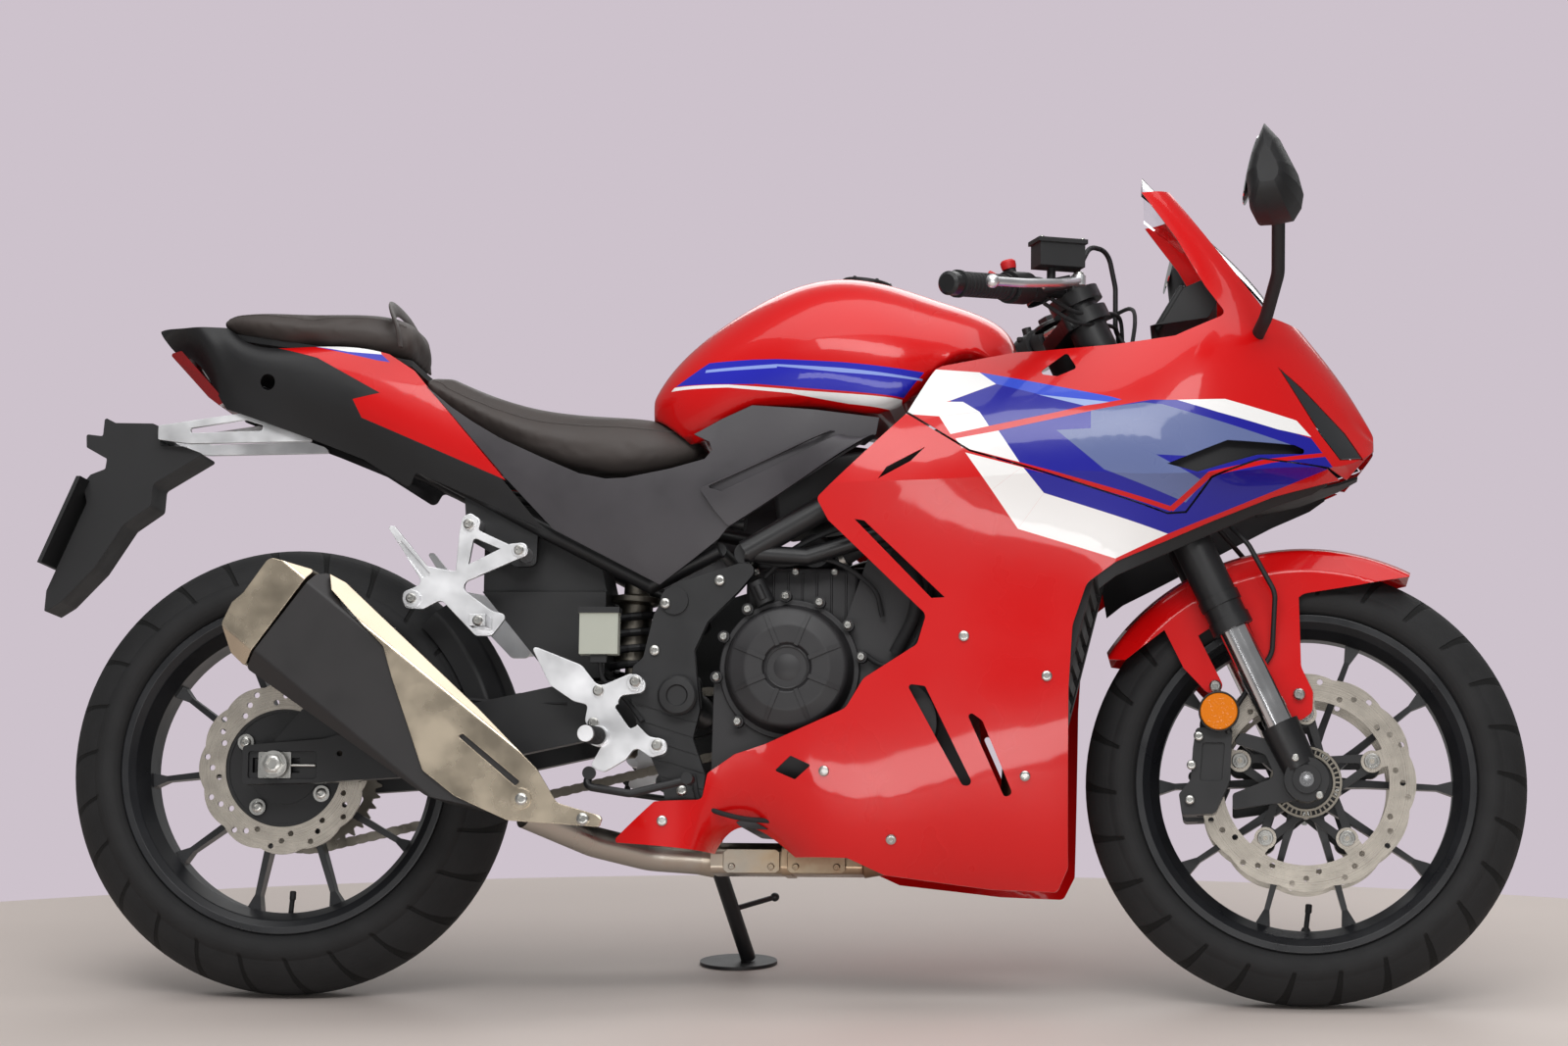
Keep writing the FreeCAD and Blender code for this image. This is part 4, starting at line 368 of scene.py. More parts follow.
# the finish of each CAD node
dressed = [
    (frontRubber, "front_tyre"), (rearRubber, "rear_tyre"), (wheelPaint, "front_rim rear_rim"),
    (frontDisc, "front_discs"), (rearDisc, "rear_disc"),
    (blackMetal, "yokes fork_sleeves fork_feet front_calipers main_frame pivot_plates seat_rails handlebars swingarm "
                 "side_stand front_disc_hubs rear_disc_hub rear_brake foot_levers"),
    (engineBlack, "clutch_cover engine_covers engine radiator"), (chrome, "fork_tubes front_axle"),
    (zincSteel, "rear_axle pivot_bolt axle_blocks"), (darkSteel, "drive_chain rear_sprocket front_sprocket"),
    (castAluminium, "foot_hangers pillion_hangers plate_arm hand_levers"), (steelPipe, "exhaust_pipes collector"),
    (champagne, "silencer_cap silencer_shield"), (canBlack, "silencer"), (gripRubber, "grips"),
    (blackPlastic, "bar_controls mirrors tail_covers tail_deck plate_holder inner_panels"),
    (sidePlastic, "side_covers"), (cowlPaint, "upper_cowl side_cowl_right side_cowl_left"), (tankPaint, "fuel_tank"),
    (tailPaint, "tail_panels"), (plainPaint, "front_fender"), (clearScreen, "windscreen"), (lampGlass, "headlamps"),
    (redLens, "tail_lamp"), (seatCover, "rider_seat pillion_seat"),
]
for mat, names in dressed:
    for name in names.split():
        assign(nodes[name], mat)
print("materials made and assigned")


# ends a piece drawn in the upright millimetre frame: leant, on its body, with its finish, and hiding the CAD node it
# replaces
def piece(name, bm, body, mat, replaced=None, sharp=38):
    bmesh.ops.recalc_face_normals(bm, faces=bm.faces)
    bmesh.ops.transform(bm, matrix=toRow, verts=bm.verts)
    mesh = bpy.data.meshes.new(name)
    bm.to_mesh(mesh)
    bm.free()
    mesh.shade_smooth()
    mesh.set_sharp_from_angle(angle=math.radians(sharp))
    obj = bpy.data.objects.new(name, mesh)
    scene.collection.objects.link(obj)
    assign(obj, mat)
    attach(obj, body)
    if replaced:
        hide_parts(replaced)
    return obj


def aimed(at, way):
    return Matrix.Translation(at) @ Vector(way).to_track_quat("Z", "Y").to_matrix().to_4x4()


# rays find where small pieces sit on the CAD's surfaces
trees = {}


def castRay(name, start, way):
    if name not in trees:
        trees[name] = BVHTree.FromObject(nodes[name], bpy.context.evaluated_depsgraph_get())
    return trees[name].ray_cast(toRow @ Vector(start), (leant.to_3x3() @ Vector(way)).normalized())


# the first surface met from the side, and its normal, or straight out where it lies too flat
def onSkin(names, x, z, side, lift=0.0):
    hits = [castRay(name, (x, side * 600, z), (0, -side, 0)) for name in names]
    hits = [hit for hit in hits if hit[0]]
    if not hits:
        return None, None
    best = min(hits, key=lambda hit: hit[3])
    normal = (leant.to_3x3().inverted() @ best[1]).normalized()
    if normal.y * side < 0:
        normal = -normal
    if abs(normal.y) < 0.8:
        normal = Vector((0, side, 0))
    return toBike @ best[0] + normal * lift, normal


# the surface met from a point along a way, and its normal towards that point
def rayHit(name, start, way):
    hit = castRay(name, start, way)
    if not hit[0]:
        return None, None
    normal = (leant.to_3x3().inverted() @ hit[1]).normalized()
    if normal.dot(Vector(way)) > 0:
        normal = -normal
    return toBike @ hit[0], normal


# a button-head screw with a socket in its top
def screw(bm, at, way, r, h, sides=16):
    at, way = Vector(at), Vector(way).normalized()
    made = bmesh.ops.create_cone(bm, cap_ends=True, segments=sides, radius1=r, radius2=r * 0.92, depth=h,
                                 matrix=aimed(at + way * (h / 2 - 0.8), way))["verts"]
    top = max({f for v in made for f in v.link_faces}, key=lambda f: f.calc_center_median().dot(way))
    bmesh.ops.inset_region(bm, faces=[top], thickness=r * 0.22, depth=h * 0.25)
    bmesh.ops.inset_region(bm, faces=[top], thickness=r * 0.26, depth=0.0)
    bmesh.ops.inset_region(bm, faces=[top], thickness=0.05, depth=0.0)
    bmesh.ops.translate(bm, verts=top.verts, vec=-way * h * 0.7)


def boltRow(bm, names, places, sides, r, h, lift=0.0):
    for x, z in places:
        for side in sides:
            at, way = onSkin(names, x, z, side, lift)
            if at:
                screw(bm, at, way, r, h)


# a profile of radius and height pairs, spun round an axis
def turned(bm, at, way, profile, steps=32):
    place = aimed(Vector(at), way)
    last = bmesh.ops.create_vert(bm, co=place @ Vector((profile[0][0], 0, profile[0][1])))["vert"][0]
    line = [last]
    for r, z in profile[1:]:
        grown = bmesh.ops.extrude_vert_indiv(bm, verts=[last])
        last = grown["verts"][0]
        last.co = place @ Vector((r, 0, z))
        line += [last] + list(grown["edges"])
    bmesh.ops.spin(bm, geom=line, cent=Vector(at), axis=Vector(way).normalized(), angle=math.tau, steps=steps,
                   use_merge=True)


def smoothPath(points, steps):
    points = [Vector(p) for p in points]
    if steps < 2 or len(points) < 3:
        return points
    ends = [points[0] * 2 - points[1]] + points + [points[-1] * 2 - points[-2]]
    path = []
    for a, b, c, d in zip(ends, ends[1:], ends[2:], ends[3:]):
        for i in range(steps):
            t = i / steps
            path.append(0.5 * (2 * b + (c - a) * t + (2 * a - 5 * b + 4 * c - d) * t ** 2
                               + (3 * b - a - 3 * c + d) * t ** 3))
    return path + [points[-1]]


# a section drawn out along a smooth path; a flat strap has a wide and a thin side
def tube(bm, points, radius, sides=10, steps=6, thin=1.0, up=None):
    path = smoothPath(points, steps)
    way = (path[1] - path[0]).normalized()
    place = aimed(path[0], way)
    if up:
        across = Vector(up).cross(way).normalized()
        high = way.cross(across)
        place = Matrix.Translation(path[0]) @ Matrix((across, high, way)).transposed().to_4x4()
    ring = bmesh.ops.create_circle(bm, segments=sides, radius=radius, cap_ends=True,
                                   matrix=place @ Matrix.Diagonal((1, thin, 1, 1)))["verts"]
    face = ring[0].link_faces[0]
    for i in range(1, len(path)):
        ahead = (path[min(i + 1, len(path) - 1)] - path[i - 1]).normalized()
        made = bmesh.ops.extrude_face_region(bm, geom=[face])["geom"]
        face = next(g for g in made if isinstance(g, bmesh.types.BMFace))
        turn = way.rotation_difference(ahead).to_matrix().to_4x4()
        bmesh.ops.transform(bm, matrix=Matrix.Translation(path[i]) @ turn @ Matrix.Translation(-path[i - 1]),
                            verts=face.verts)
        way = ahead


# one flat face inside a side-view outline, which may be hollow in places
def outlineFace(bm, outline, y):
    last = bmesh.ops.create_vert(bm, co=Vector((outline[0][0], y, outline[0][1])))["vert"][0]
    line, edges = [last], []
    for x, z in outline[1:]:
        grown = bmesh.ops.extrude_vert_indiv(bm, verts=[last])
        last = grown["verts"][0]
        last.co = Vector((x, y, z))
        line.append(last)
        edges += grown["edges"]
    edges += bmesh.ops.contextual_create(bm, geom=[line[-1], line[0]])["edges"]
    return bmesh.ops.edgeloop_fill(bm, edges=edges)["faces"][0]


# a flat plate with a side-view outline, its edges slightly broken
def plate(bm, outline, y, thick, broken=0.6):
    face = outlineFace(bm, outline, y)
    verts = list(face.verts)
    made = bmesh.ops.extrude_face_region(bm, geom=[face])["geom"]
    grown = [g for g in made if isinstance(g, bmesh.types.BMVert)]
    bmesh.ops.translate(bm, verts=grown, vec=Vector((0, thick, 0)))
    if broken:
        edges = list({e for v in verts + grown for e in v.link_edges})
        bmesh.ops.bevel(bm, geom=edges, offset=broken, segments=1, profile=0.5, affect="EDGES", material=-1)


# a block with broken edges, placed by a matrix
def block(bm, size, matrix, broken=1.0, segments=2):
    made = bmesh.ops.create_cube(bm, size=1.0, matrix=matrix @ Matrix.Diagonal((*size, 1)))["verts"]
    edges = list({e for v in made for e in v.link_edges})
    bmesh.ops.bevel(bm, geom=edges, offset=broken, segments=segments, profile=0.5, affect="EDGES", material=-1)


# gives part of a node's faces another finish: those whose middle lies in a box of the upright frame
def partFinish(name, low, high, mat):
    mesh = nodes[name].data
    mesh.materials.append(mat)
    number = len(mesh.materials) - 1
    for face in mesh.polygons:
        at = toBike @ face.center
        if all(a < v < b for a, v, b in zip(low, at, high)):
            face.material_index = number


front, rear = Vector((705, 0, 301.34)), Vector((-705, 0, 313.79))


def polar(at, r, degrees, y):
    turn = math.radians(degrees)
    return Vector((at.x + r * math.sin(turn), y, at.z + r * math.cos(turn)))


# screws of the bodywork, in bright zinc
bodyScrews = {"radius": 7.5, "height": 4.0, "cowl": [(248, 486), (359, 433), (60, 305), (150, 215), (330, 300)],
              "rightCowl": [(-157, 236)], "cover": [(-298, 643)], "tail": [(-746, 859)]}


def bodyScrewPiece(v):
    bm = bmesh.new()
    cowls = ["side_cowl_right", "side_cowl_left"]
    boltRow(bm, cowls, v["cowl"], (-1, 1), v["radius"], v["height"])
    boltRow(bm, ["side_cowl_right"], v["rightCowl"], (-1,), v["radius"], v["height"])
    boltRow(bm, ["side_covers"], v["cover"], (-1, 1), v["radius"] - 1, v["height"])
    boltRow(bm, ["tail_covers"], v["tail"], (-1, 1), v["radius"] + 1.5, v["height"], -1.5)
    piece("bodyScrews", bm, "chassis", zincSteel)


bodyScrewPiece(bodyScrews)

# screws of the engine, frame, hangers and silencer
metalScrews = {
    "clutchMiddle": (6, 447), "clutchCircle": 100,
    "clutch": [(-61, 542), (0, 554), (49, 543), (88, 508), (114, 465), (-66, 372), (-98, 435), (-104, 501)],
    "rotorMiddle": Vector((150, 0, 372)), "rotorCircle": 66,
    # node, places, sides, radius and height
    "rows": [("pivot_plates", [(-162, 534), (-135, 279), (-88, 566), (-176, 470)], (-1, 1), 7.5, 5.0),
             ("foot_hangers", [(-197, 424), (-166, 338), (-248, 412), (-254, 368)], (-1, 1), 8.0, 6.0),
             ("pillion_hangers", [(-437, 644), (-514, 541), (-366, 608), (-412, 505)], (-1, 1), 7.5, 5.5),
             ("silencer_shield", [(-335, 258), (-252, 232)], (-1,), 9.0, 6.0),
             ("axle_blocks", [(-712, 300)], (-1, 1), 3.0, 1.0)],
}


def metalScrewPiece(v):
    bm = bmesh.new()
    x0, z0 = v["clutchMiddle"]
    for x, z in v["clutch"]:
        away = Vector((x - x0, z - z0)).normalized() * v["clutchCircle"]
        boltRow(bm, ["clutch_cover"], [(x0 + away.x, z0 + away.y)], (-1,), 6.2, 5.0)
    for k in range(6):
        at = polar(v["rotorMiddle"], v["rotorCircle"], 60 * k + 20, 0)
        boltRow(bm, ["engine_covers"], [(at.x, at.z)], (1,), 6.0, 5.0)
    for name, places, sides, r, h in v["rows"]:
        boltRow(bm, [name], places, sides, r, h)
    piece("engineAndFrameScrews", bm, "chassis", zincSteel)


metalScrewPiece(metalScrews)


# caps over the swingarm's pivot, and the nuts and washers of the rear axle
rearPivots = {"pivot": (-142, 407), "cap": 27, "axle": (-705, 313.8), "nut": 17, "washer": 19}


def rearPivotPieces(v):
    bm = bmesh.new()
    for side in (-1, 1):
        at, way = onSkin(["pivot_plates", "pivot_bolt"], *v["pivot"], side)
        profile = [(v["cap"], -3), (v["cap"], 3), (v["cap"] - 3, 6), (15, 7), (13, 4.5), (0.01, 4.5)]
        turned(bm, at + way * 0.5, way, profile, 40)
    piece("pivotCaps", bm, "chassis", blackPlastic)
    bm = bmesh.new()
    for side in (-1, 1):
        at, way = onSkin(["axle_blocks", "rear_axle", "swingarm"], *v["axle"], side)
        turned(bm, at, way, [(v["nut"], -1), (v["nut"], 2), (13.5, 2), (13.5, 11), (11, 12.5), (8, 12.5), (8, 6),
                             (0.01, 6)], 6)
        turned(bm, at, way, [(v["washer"], -1), (v["washer"], 1.6), (9, 1.6)], 32)
    piece("rearAxleNuts", bm, "chassis", zincSteel)


rearPivotPieces(rearPivots)

# clutch cover: a raised ring and a plain round plate in the dish, and the long oil filler above it
clutchTrim = {"middle": (6, 447), "plate": 19, "ring": 30, "fillerOn": (-33, 552), "fillerOut": -126}


def clutchPieces(v):
    bm = bmesh.new()
    x, z = v["middle"]
    at, way = onSkin(["clutch_cover"], x, z, -1)
    at = Vector((x, at.y, z))
    r = v["plate"]
    turned(bm, at, way, [(r, -2), (r, 1.5), (r - 1.5, 2.4), (0.01, 2.4)], 40)
    r = v["ring"]
    turned(bm, at, way, [(r, 0.6), (r, 3.2), (r - 1.4, 3.8), (r - 2.8, 3.2), (r - 2.8, 0.6)], 48)
    piece("clutchBadge", bm, "chassis", engineBlack)
    bm = bmesh.new()
    top, _ = onSkin(["clutch_cover", "engine", "engine_covers"], *v["fillerOn"], -1)
    y = min(top.y, v["fillerOut"]) if top else v["fillerOut"]
    tube(bm, [(-26, y - 6, 536), (-41, y - 6, 566)], 13, 14, 1)
    tube(bm, [(-29, y - 15, 541), (-38, y - 15, 560)], 6, 10, 1)
    piece("oilFiller", bm, "chassis", blackPlastic)


clutchPieces(clutchTrim)
print("screws and engine trim made")

# hoses, wires and clips beside the engine and under the tank
rubber = {
    "thick": [([(70, -100, 600), (120, -118, 622), (200, -128, 628), (290, -134, 610), (352, -138, 590)], 12),
              ([(40, 104, 600), (120, 122, 604), (220, 132, 560), (330, 138, 470), (350, 140, 440)], 12),
              ([(150, -120, 470), (176, -134, 520), (178, -132, 570), (150, -112, 610)], 9)],
    "thin": [([(-30, -116, 575), (10, -126, 612), (70, -124, 640), (130, -110, 650)], 4.0),
             ([(105, -118, 470), (140, -134, 452), (176, -136, 478), (196, -124, 540), (200, -110, 600)], 4.0),
             ([(-40, -118, 596), (0, -130, 590), (60, -132, 596), (118, -126, 560), (132, -120, 520)], 3.2),
             ([(-250, -160, 460), (-246, -150, 430), (-214, -146, 402), (-190, -158, 372)], 3.5),
             ([(-120, -150, 300), (-108, -156, 262), (-60, -140, 244), (0, -120, 240)], 3.5),
             ([(-700, -60, 350), (-640, -70, 420), (-560, -96, 424), (-420, -112, 404), (-300, -120, 400)], 3.2)],
    "clips": [((352, -138, 590), (-1, 0.1, 0.3), 13.5), ((78, -102, 603), (1, -0.4, 0.4), 13.5)],
}


def hosePiece(v):
    bm = bmesh.new()
    for points, r in v["thick"] + v["thin"]:
        tube(bm, points, r, 12 if r > 6 else 8, 7)
    piece("engineHoses", bm, "chassis", gripRubber)
    bm = bmesh.new()
    for at, way, r in v["clips"]:
        turned(bm, at, way, [(r - 1, -4), (r, -4), (r, 4), (r - 1, 4), (r - 1, -4)], 24)
    piece("hoseClips", bm, "chassis", zincSteel)


hosePiece(rubber)


# the exhaust's own heat shield: two pressed plates, each with a pair of screws
collectorPlates = {"spans": ((-86, -8), (2, 82)), "low": 172, "high": 205, "y": -84.5, "thick": 2.5}


def collectorShield(v):
    bm = bmesh.new()
    low, high = v["low"], v["high"]
    for x0, x1 in v["spans"]:
        plate(bm, [(x0, low + 4), (x0 + 6, low), (x1 - 6, low), (x1, low + 4), (x1, high - 4), (x1 - 6, high),
                   (x0 + 6, high), (x0, high - 4)], v["y"], v["thick"], 0.8)
        for x in (x0 + 12, x1 - 12):
            screw(bm, (x, v["y"], low + 9), (0, -1, 0), 5, 4)
    piece("collectorShield", bm, "chassis", steelPipe)


collectorShield(collectorPlates)

# wheels: bobbins and screws on the discs and hubs, and the valves
wheelTrim = {"bobbin": [(11, -1), (11, 1.6), (10, 2.4), (7.6, 2.4), (7.2, 1.4), (6.2, 1.4), (5.8, 2.2),
                        (3.4, 2.2), (3.2, -1)],
             "bobbins": 5, "bobbinCircle": 93.5, "hubCircle": 44, "rearCircle": 65, "sprocketCircle": 56,
             "valves": (("frontValve", front, 200, "front_wheel"), ("rearValve", rear, 206, "rear_wheel"))}


def wheelPieces(v):
    step = 360 / v["bobbins"]
    bm = bmesh.new()
    for side in (-1, 1):
        for k in range(v["bobbins"]):
            at = polar(front, v["bobbinCircle"], step * k, side * 64.25)
            turned(bm, at, (0, side, 0), v["bobbin"], 28)
    piece("frontDiscBobbins", bm, "front_wheel", zincSteel)
    bm = bmesh.new()
    for side in (-1, 1):
        for k in range(v["bobbins"]):
            at = polar(front, v["hubCircle"], step * (k + 0.5), 0)
            boltRow(bm, ["front_disc_hubs"], [(at.x, at.z)], (side,), 6.2, 5.0)
    piece("frontHubScrews", bm, "front_wheel", zincSteel)
    bm = bmesh.new()
    for k in range(4):
        at = polar(rear, v["rearCircle"], 33 + 90 * k, -68.25)
        screw(bm, at, (0, -1, 0), 8.0, 5.0)
        turned(bm, at, (0, -1, 0), [(11.5, -0.5), (11.5, 1.0), (7, 1.0)], 24)
    for k in range(5):
        at = polar(rear, v["sprocketCircle"], 72 * k + 20, 0)
        boltRow(bm, ["rear_sprocket"], [(at.x, at.z)], (1,), 9.0, 7.0)
    piece("rearDiscScrews", bm, "rear_wheel", zincSteel)
    for name, at, r, body in v["valves"]:
        bm = bmesh.new()
        foot, top = polar(at, r + 2, 180, 0), polar(at, r - 34, 178.6, -5)
        tube(bm, [foot, polar(at, r - 12, 179.6, -1), top], 3.6, 10, 4)
        turned(bm, foot, (0, 0.0, 1), [(6.5, -4), (6.5, 5), (4.4, 9), (3.2, 9)], 16)
        way = polar(at, r - 40, 178.4, -6) - top
        turned(bm, top, way, [(3.4, -8), (4.6, -7), (4.6, 3), (3.6, 4.4), (0.01, 4.4)], 14)
        piece(name, bm, body, gripRubber)


wheelPieces(wheelTrim)


# the front brake sensor's ring, a thin plate with windows, beside each hub
sensorRing = {"radii": (47, 38), "windows": 40, "y": -66.6}


def sensorRingPiece(v):
    bm = bmesh.new()
    outer, inner = v["radii"]
    for k in range(v["windows"]):
        at = polar(front, (outer + inner) / 2, 360 / v["windows"] * k, v["y"])
        turn = Matrix.Rotation(math.radians(360 / v["windows"] * k), 4, "Y")
        block(bm, (2.6, 1.2, outer - inner - 3), Matrix.Translation(at) @ turn, 0.3, 1)
    for r in (outer, inner):
        turned(bm, Vector((front.x, v["y"], front.z)), (0, -1, 0),
               [(r - 1.6, -0.8), (r + 1.6, -0.8), (r + 1.6, 0.8), (r - 1.6, 0.8), (r - 1.6, -0.8)], 56)
    piece("sensorRing", bm, "front_wheel", darkSteel)


sensorRingPiece(sensorRing)

# the fork's small parts: fender and caliper screws, axle end, reflector and its rim
forkTrim = {"fender": [(583, 431), (696, 420)], "caliper": [(561, 360), (551, 321), (549, 274)],
            "foot": [(690, 330), (722, 280)], "axle": (705, 301.3),
            "reflector": {"centre": (588, 112, 393), "radius": 25}}


def forkTrimPiece(v):
    bm = bmesh.new()
    boltRow(bm, ["front_fender", "fork_feet"], v["fender"], (-1, 1), 8.5, 6.0)
    boltRow(bm, ["front_calipers"], v["caliper"], (-1, 1), 6.5, 4.0)
    boltRow(bm, ["fork_feet"], v["foot"], (-1, 1), 5.5, 4.0)
    piece("forkScrews", bm, "fork_body", zincSteel)
    bm = bmesh.new()
    for side in (-1, 1):
        at, _ = onSkin(["front_axle", "fork_feet"], *v["axle"], side)
        turned(bm, at, (0, side, 0), [(17, -1), (17, 2.0), (15.5, 3.2), (12, 3.2), (10, 0.6), (10, -3), (0.01, -3)], 32)
    piece("frontAxleEnds", bm, "fork_body", chrome)
    (x, y, z), r = v["reflector"]["centre"], v["reflector"]["radius"]
    bm = bmesh.new()
    for side in (-1, 1):
        turned(bm, (x, side * y, z), (0, side, 0), [(r, -3), (r, 2.5), (r - 1.2, 3.6), (0.01, 3.6)], 40)
    piece("frontReflectors", bm, "fork_body", amberLens)
    bm = bmesh.new()
    for side in (-1, 1):
        at = Vector((x, side * y, z))
        turned(bm, at, (0, side, 0), [(0.01, -5), (r + 2.5, -5), (r + 2.5, 3.4), (r + 0.6, 4.0), (r + 0.2, -1)], 40)
        tube(bm, [at - Vector((0, side * 4, 0)), at + Vector((8, -side * 7, -14)), at + Vector((14, -side * 10, -28))],
             5, 8, 4)
    piece("reflectorCups", bm, "fork_body", blackPlastic)


forkTrimPiece(forkTrim)
print("wheels and fork trimmed")


# bars: ridges round the grips, the red stop switch, button caps, and screws of the brake cup and levers
bars = {"start": (375.6, 123, 969), "end": (238, 372, 932), "ridges": 11}


def barTrim(v):
    start, end = Vector(v["start"]), Vector(v["end"])
    way = (end - start).normalized()
    back = lambda mm: end - way * mm
    flip = lambda p, side: Vector((p.x, p.y * side, p.z))
    bm = bmesh.new()
    for side in (-1, 1):
        for k in range(v["ridges"]):
            at = back(30 + k * 9.4)
            turned(bm, flip(at, side), flip(way, side), [(15.6, -3.4), (16.9, -2.8), (16.9, 2.8), (15.6, 3.4)], 28)
    piece("gripRidges", bm, "fork_body", gripRubber)
    bm = bmesh.new()
    at = flip(back(164), -1) + Vector((-9, 0, 33))
    turned(bm, at - Vector((0, 0, 6)), (-0.25, 0, 1), [(9.5, -2), (10.5, 3), (10.5, 8), (8.5, 10.5), (0.01, 10.5)], 24)
    block(bm, (22, 13, 9), Matrix.Translation(flip(back(150), -1) + Vector((-20, 0, 14)))
          @ Matrix.Rotation(0.5, 4, "Y"), 2.0)
    piece("stopSwitch", bm, "fork_body", redKnob)
    bm = bmesh.new()
    for side in (-1, 1):
        for along, up, out in ((176, 10, -22), (160, 2, -25), (170, -9, -22)):
            block(bm, (9, 9, 7), Matrix.Translation(flip(back(along), side) + Vector((out, 0, up)))
                  @ Matrix.Rotation(0.3 * side, 4, "Z"), 1.6)
    piece("switchButtons", bm, "fork_body", gripRubber)
    bm = bmesh.new()
    cup = flip(back(212), -1) + Vector((34, 0, 38))
    turn = Matrix.Translation(cup) @ Matrix.Rotation(math.radians(22), 4, "Z")
    for x, y in ((-31, -17), (27, 17), (-31, 17), (27, -17)):
        screw(bm, turn @ Vector((x, y, 28)), (0, 0, 1), 3.6, 2.4, 12)
    for side in (-1, 1):
        screw(bm, flip(back(208), side) + Vector((63, 0, 18)), (0, 0, 1), 6.5, 4.5)
        for along in (200, 216):
            screw(bm, flip(back(along), side) + Vector((16.5, 0, 2)), (1, 0, 0.1), 4.2, 4.0, 12)
    piece("leverScrews", bm, "fork_body", zincSteel)


barTrim(bars)


# tops of the fork tubes, each with a hexagon and an adjuster, and the nut of the steering stem between them
forkTop = {"rake": 25.5, "axis": (412.7, 101, 826.7), "radius": 24, "nut": 20}


def highest(name, up, keep):
    return max(filter(keep, (toBike @ p.co for p in nodes[name].data.vertices)), key=lambda p: p.dot(up))


def forkTopPieces(v):
    tilt = math.radians(v["rake"])
    up = Vector((-math.sin(tilt), 0, math.cos(tilt)))
    x, y, z = v["axis"]
    bm = bmesh.new()
    for side in (-1, 1):
        axis = Vector((x, side * y, z))
        top = axis + up * (highest("fork_sleeves", up, lambda p: p.y * side > 0) - axis).dot(up)
        turned(bm, top, up, [(v["radius"], -1), (v["radius"], 3), (22, 4.5), (14, 4.5)], 36)
        turned(bm, top, up, [(14, 3), (14, 12), (12.5, 13.5), (7, 13.5), (7, 10), (0.01, 10)], 6)
    piece("forkTops", bm, "fork_body", blackMetal)
    bm = bmesh.new()
    axis = Vector((x, 0, z))
    top = axis + up * (highest("yokes", up, lambda p: abs(p.y) < 30) - axis).dot(up)
    turned(bm, top, up, [(v["nut"], -1), (v["nut"], 4), (17, 7), (9, 7), (9, 3), (0.01, 3)], 6)
    piece("steeringNut", bm, "fork_body", zincSteel)


forkTopPieces(forkTop)


# clutch cable from its lever down into the frame, on the left, and the throttle's pair on the right
cables = {
    "leftBar": [(392, 190, 978), (430, 168, 986), (462, 120, 990), (470, 70, 960), (462, 50, 900)],
    "rightBar": [(360, -160, 952), (396, -140, 936), (430, -110, 940), (452, -72, 940), (456, -48, 900)],
    "rightBarSecond": [(352, -166, 944), (392, -146, 922), (428, -112, 924), (448, -66, 924), (448, -40, 890)],
}


def cablePiece(v):
    bm = bmesh.new()
    for points in v.values():
        tube(bm, points, 3.0, 8, 8)
    piece("barCables", bm, "fork_body", gripRubber)


cablePiece(cables)
print("bars trimmed")


# side covers: one moulded skin a side from under the seat to the tank, 3 mm thick, bulging a little at mid height
sideCover = {
    "outline": [(-508, 843), (-472, 813), (-440, 791), (-400, 767), (-340, 739), (-287, 716), (-250, 708), (-222, 709),
                (-160, 721), (-112, 734), (-102, 746), (-106, 758), (-128, 769), (-90, 790), (-48, 809), (40, 801),
                (128, 789), (124, 766), (20, 702), (-80, 639), (-92, 624), (-130, 595), (-174, 563), (-250, 602),
                (-322, 639), (-391, 711), (-470, 801)],
    # x, half width at the bulge, height of the bulge
    "rows": [(-512, 119, 782), (-400, 129, 740), (-300, 138, 705), (-200, 146, 690), (-100, 150.5, 702),
             (0, 156.5, 732), (130, 157, 768)],
    "fall": 0.0012, "thick": 3.0, "grid": 20,
}


def coverWidth(v, x, z):
    rows = v["rows"]
    for (x0, w0, z0), (x1, w1, z1) in zip(rows, rows[1:]):
        if x <= x1:
            break
    t = min(max((x - x0) / (x1 - x0), 0.0), 1.0)
    return w0 + (w1 - w0) * t - v["fall"] * (z - z0 - (z1 - z0) * t) ** 2


def sideCoverPiece(v):
    bm = bmesh.new()
    for side in (-1, 1):
        outlineFace(bm, v["outline"], side * 400)
    bmesh.ops.triangulate(bm, faces=bm.faces[:], ngon_method="EAR_CLIP")
    cuts = [((x, 0, 0), (1, 0, 0)) for x in range(-490, 130, v["grid"])]
    cuts += [((0, 0, z), (0, 0, 1)) for z in range(570, 840, v["grid"])]
    for at, way in cuts:
        bmesh.ops.bisect_plane(bm, geom=bm.verts[:] + bm.edges[:] + bm.faces[:], plane_co=at, plane_no=way)
    for vert in bm.verts:
        side = 1 if vert.co.y > 0 else -1
        vert.co.y = side * coverWidth(v, vert.co.x, vert.co.z)
    bmesh.ops.recalc_face_normals(bm, faces=bm.faces)
    for face in bm.faces:
        if face.normal.y * face.calc_center_median().y < 0:
            face.normal_flip()
    made = bmesh.ops.extrude_face_region(bm, geom=bm.faces[:], use_keep_orig=True)["geom"]
    inner = [g for g in made if isinstance(g, bmesh.types.BMVert)]
    for vert in inner:
        vert.co.y -= math.copysign(v["thick"], vert.co.y)
    piece("sideCoverPanels", bm, "chassis", sidePlastic)


sideCoverPiece(sideCover)


# drive chain: inner and outer links by turns, with their pins, on the chain's own line
chain = {"y": 93.0, "pitch": 15.875, "teeth": (41, 15), "gear": (-52, 402), "plate": 1.6, "waist": 6.4, "pin": 2.6}


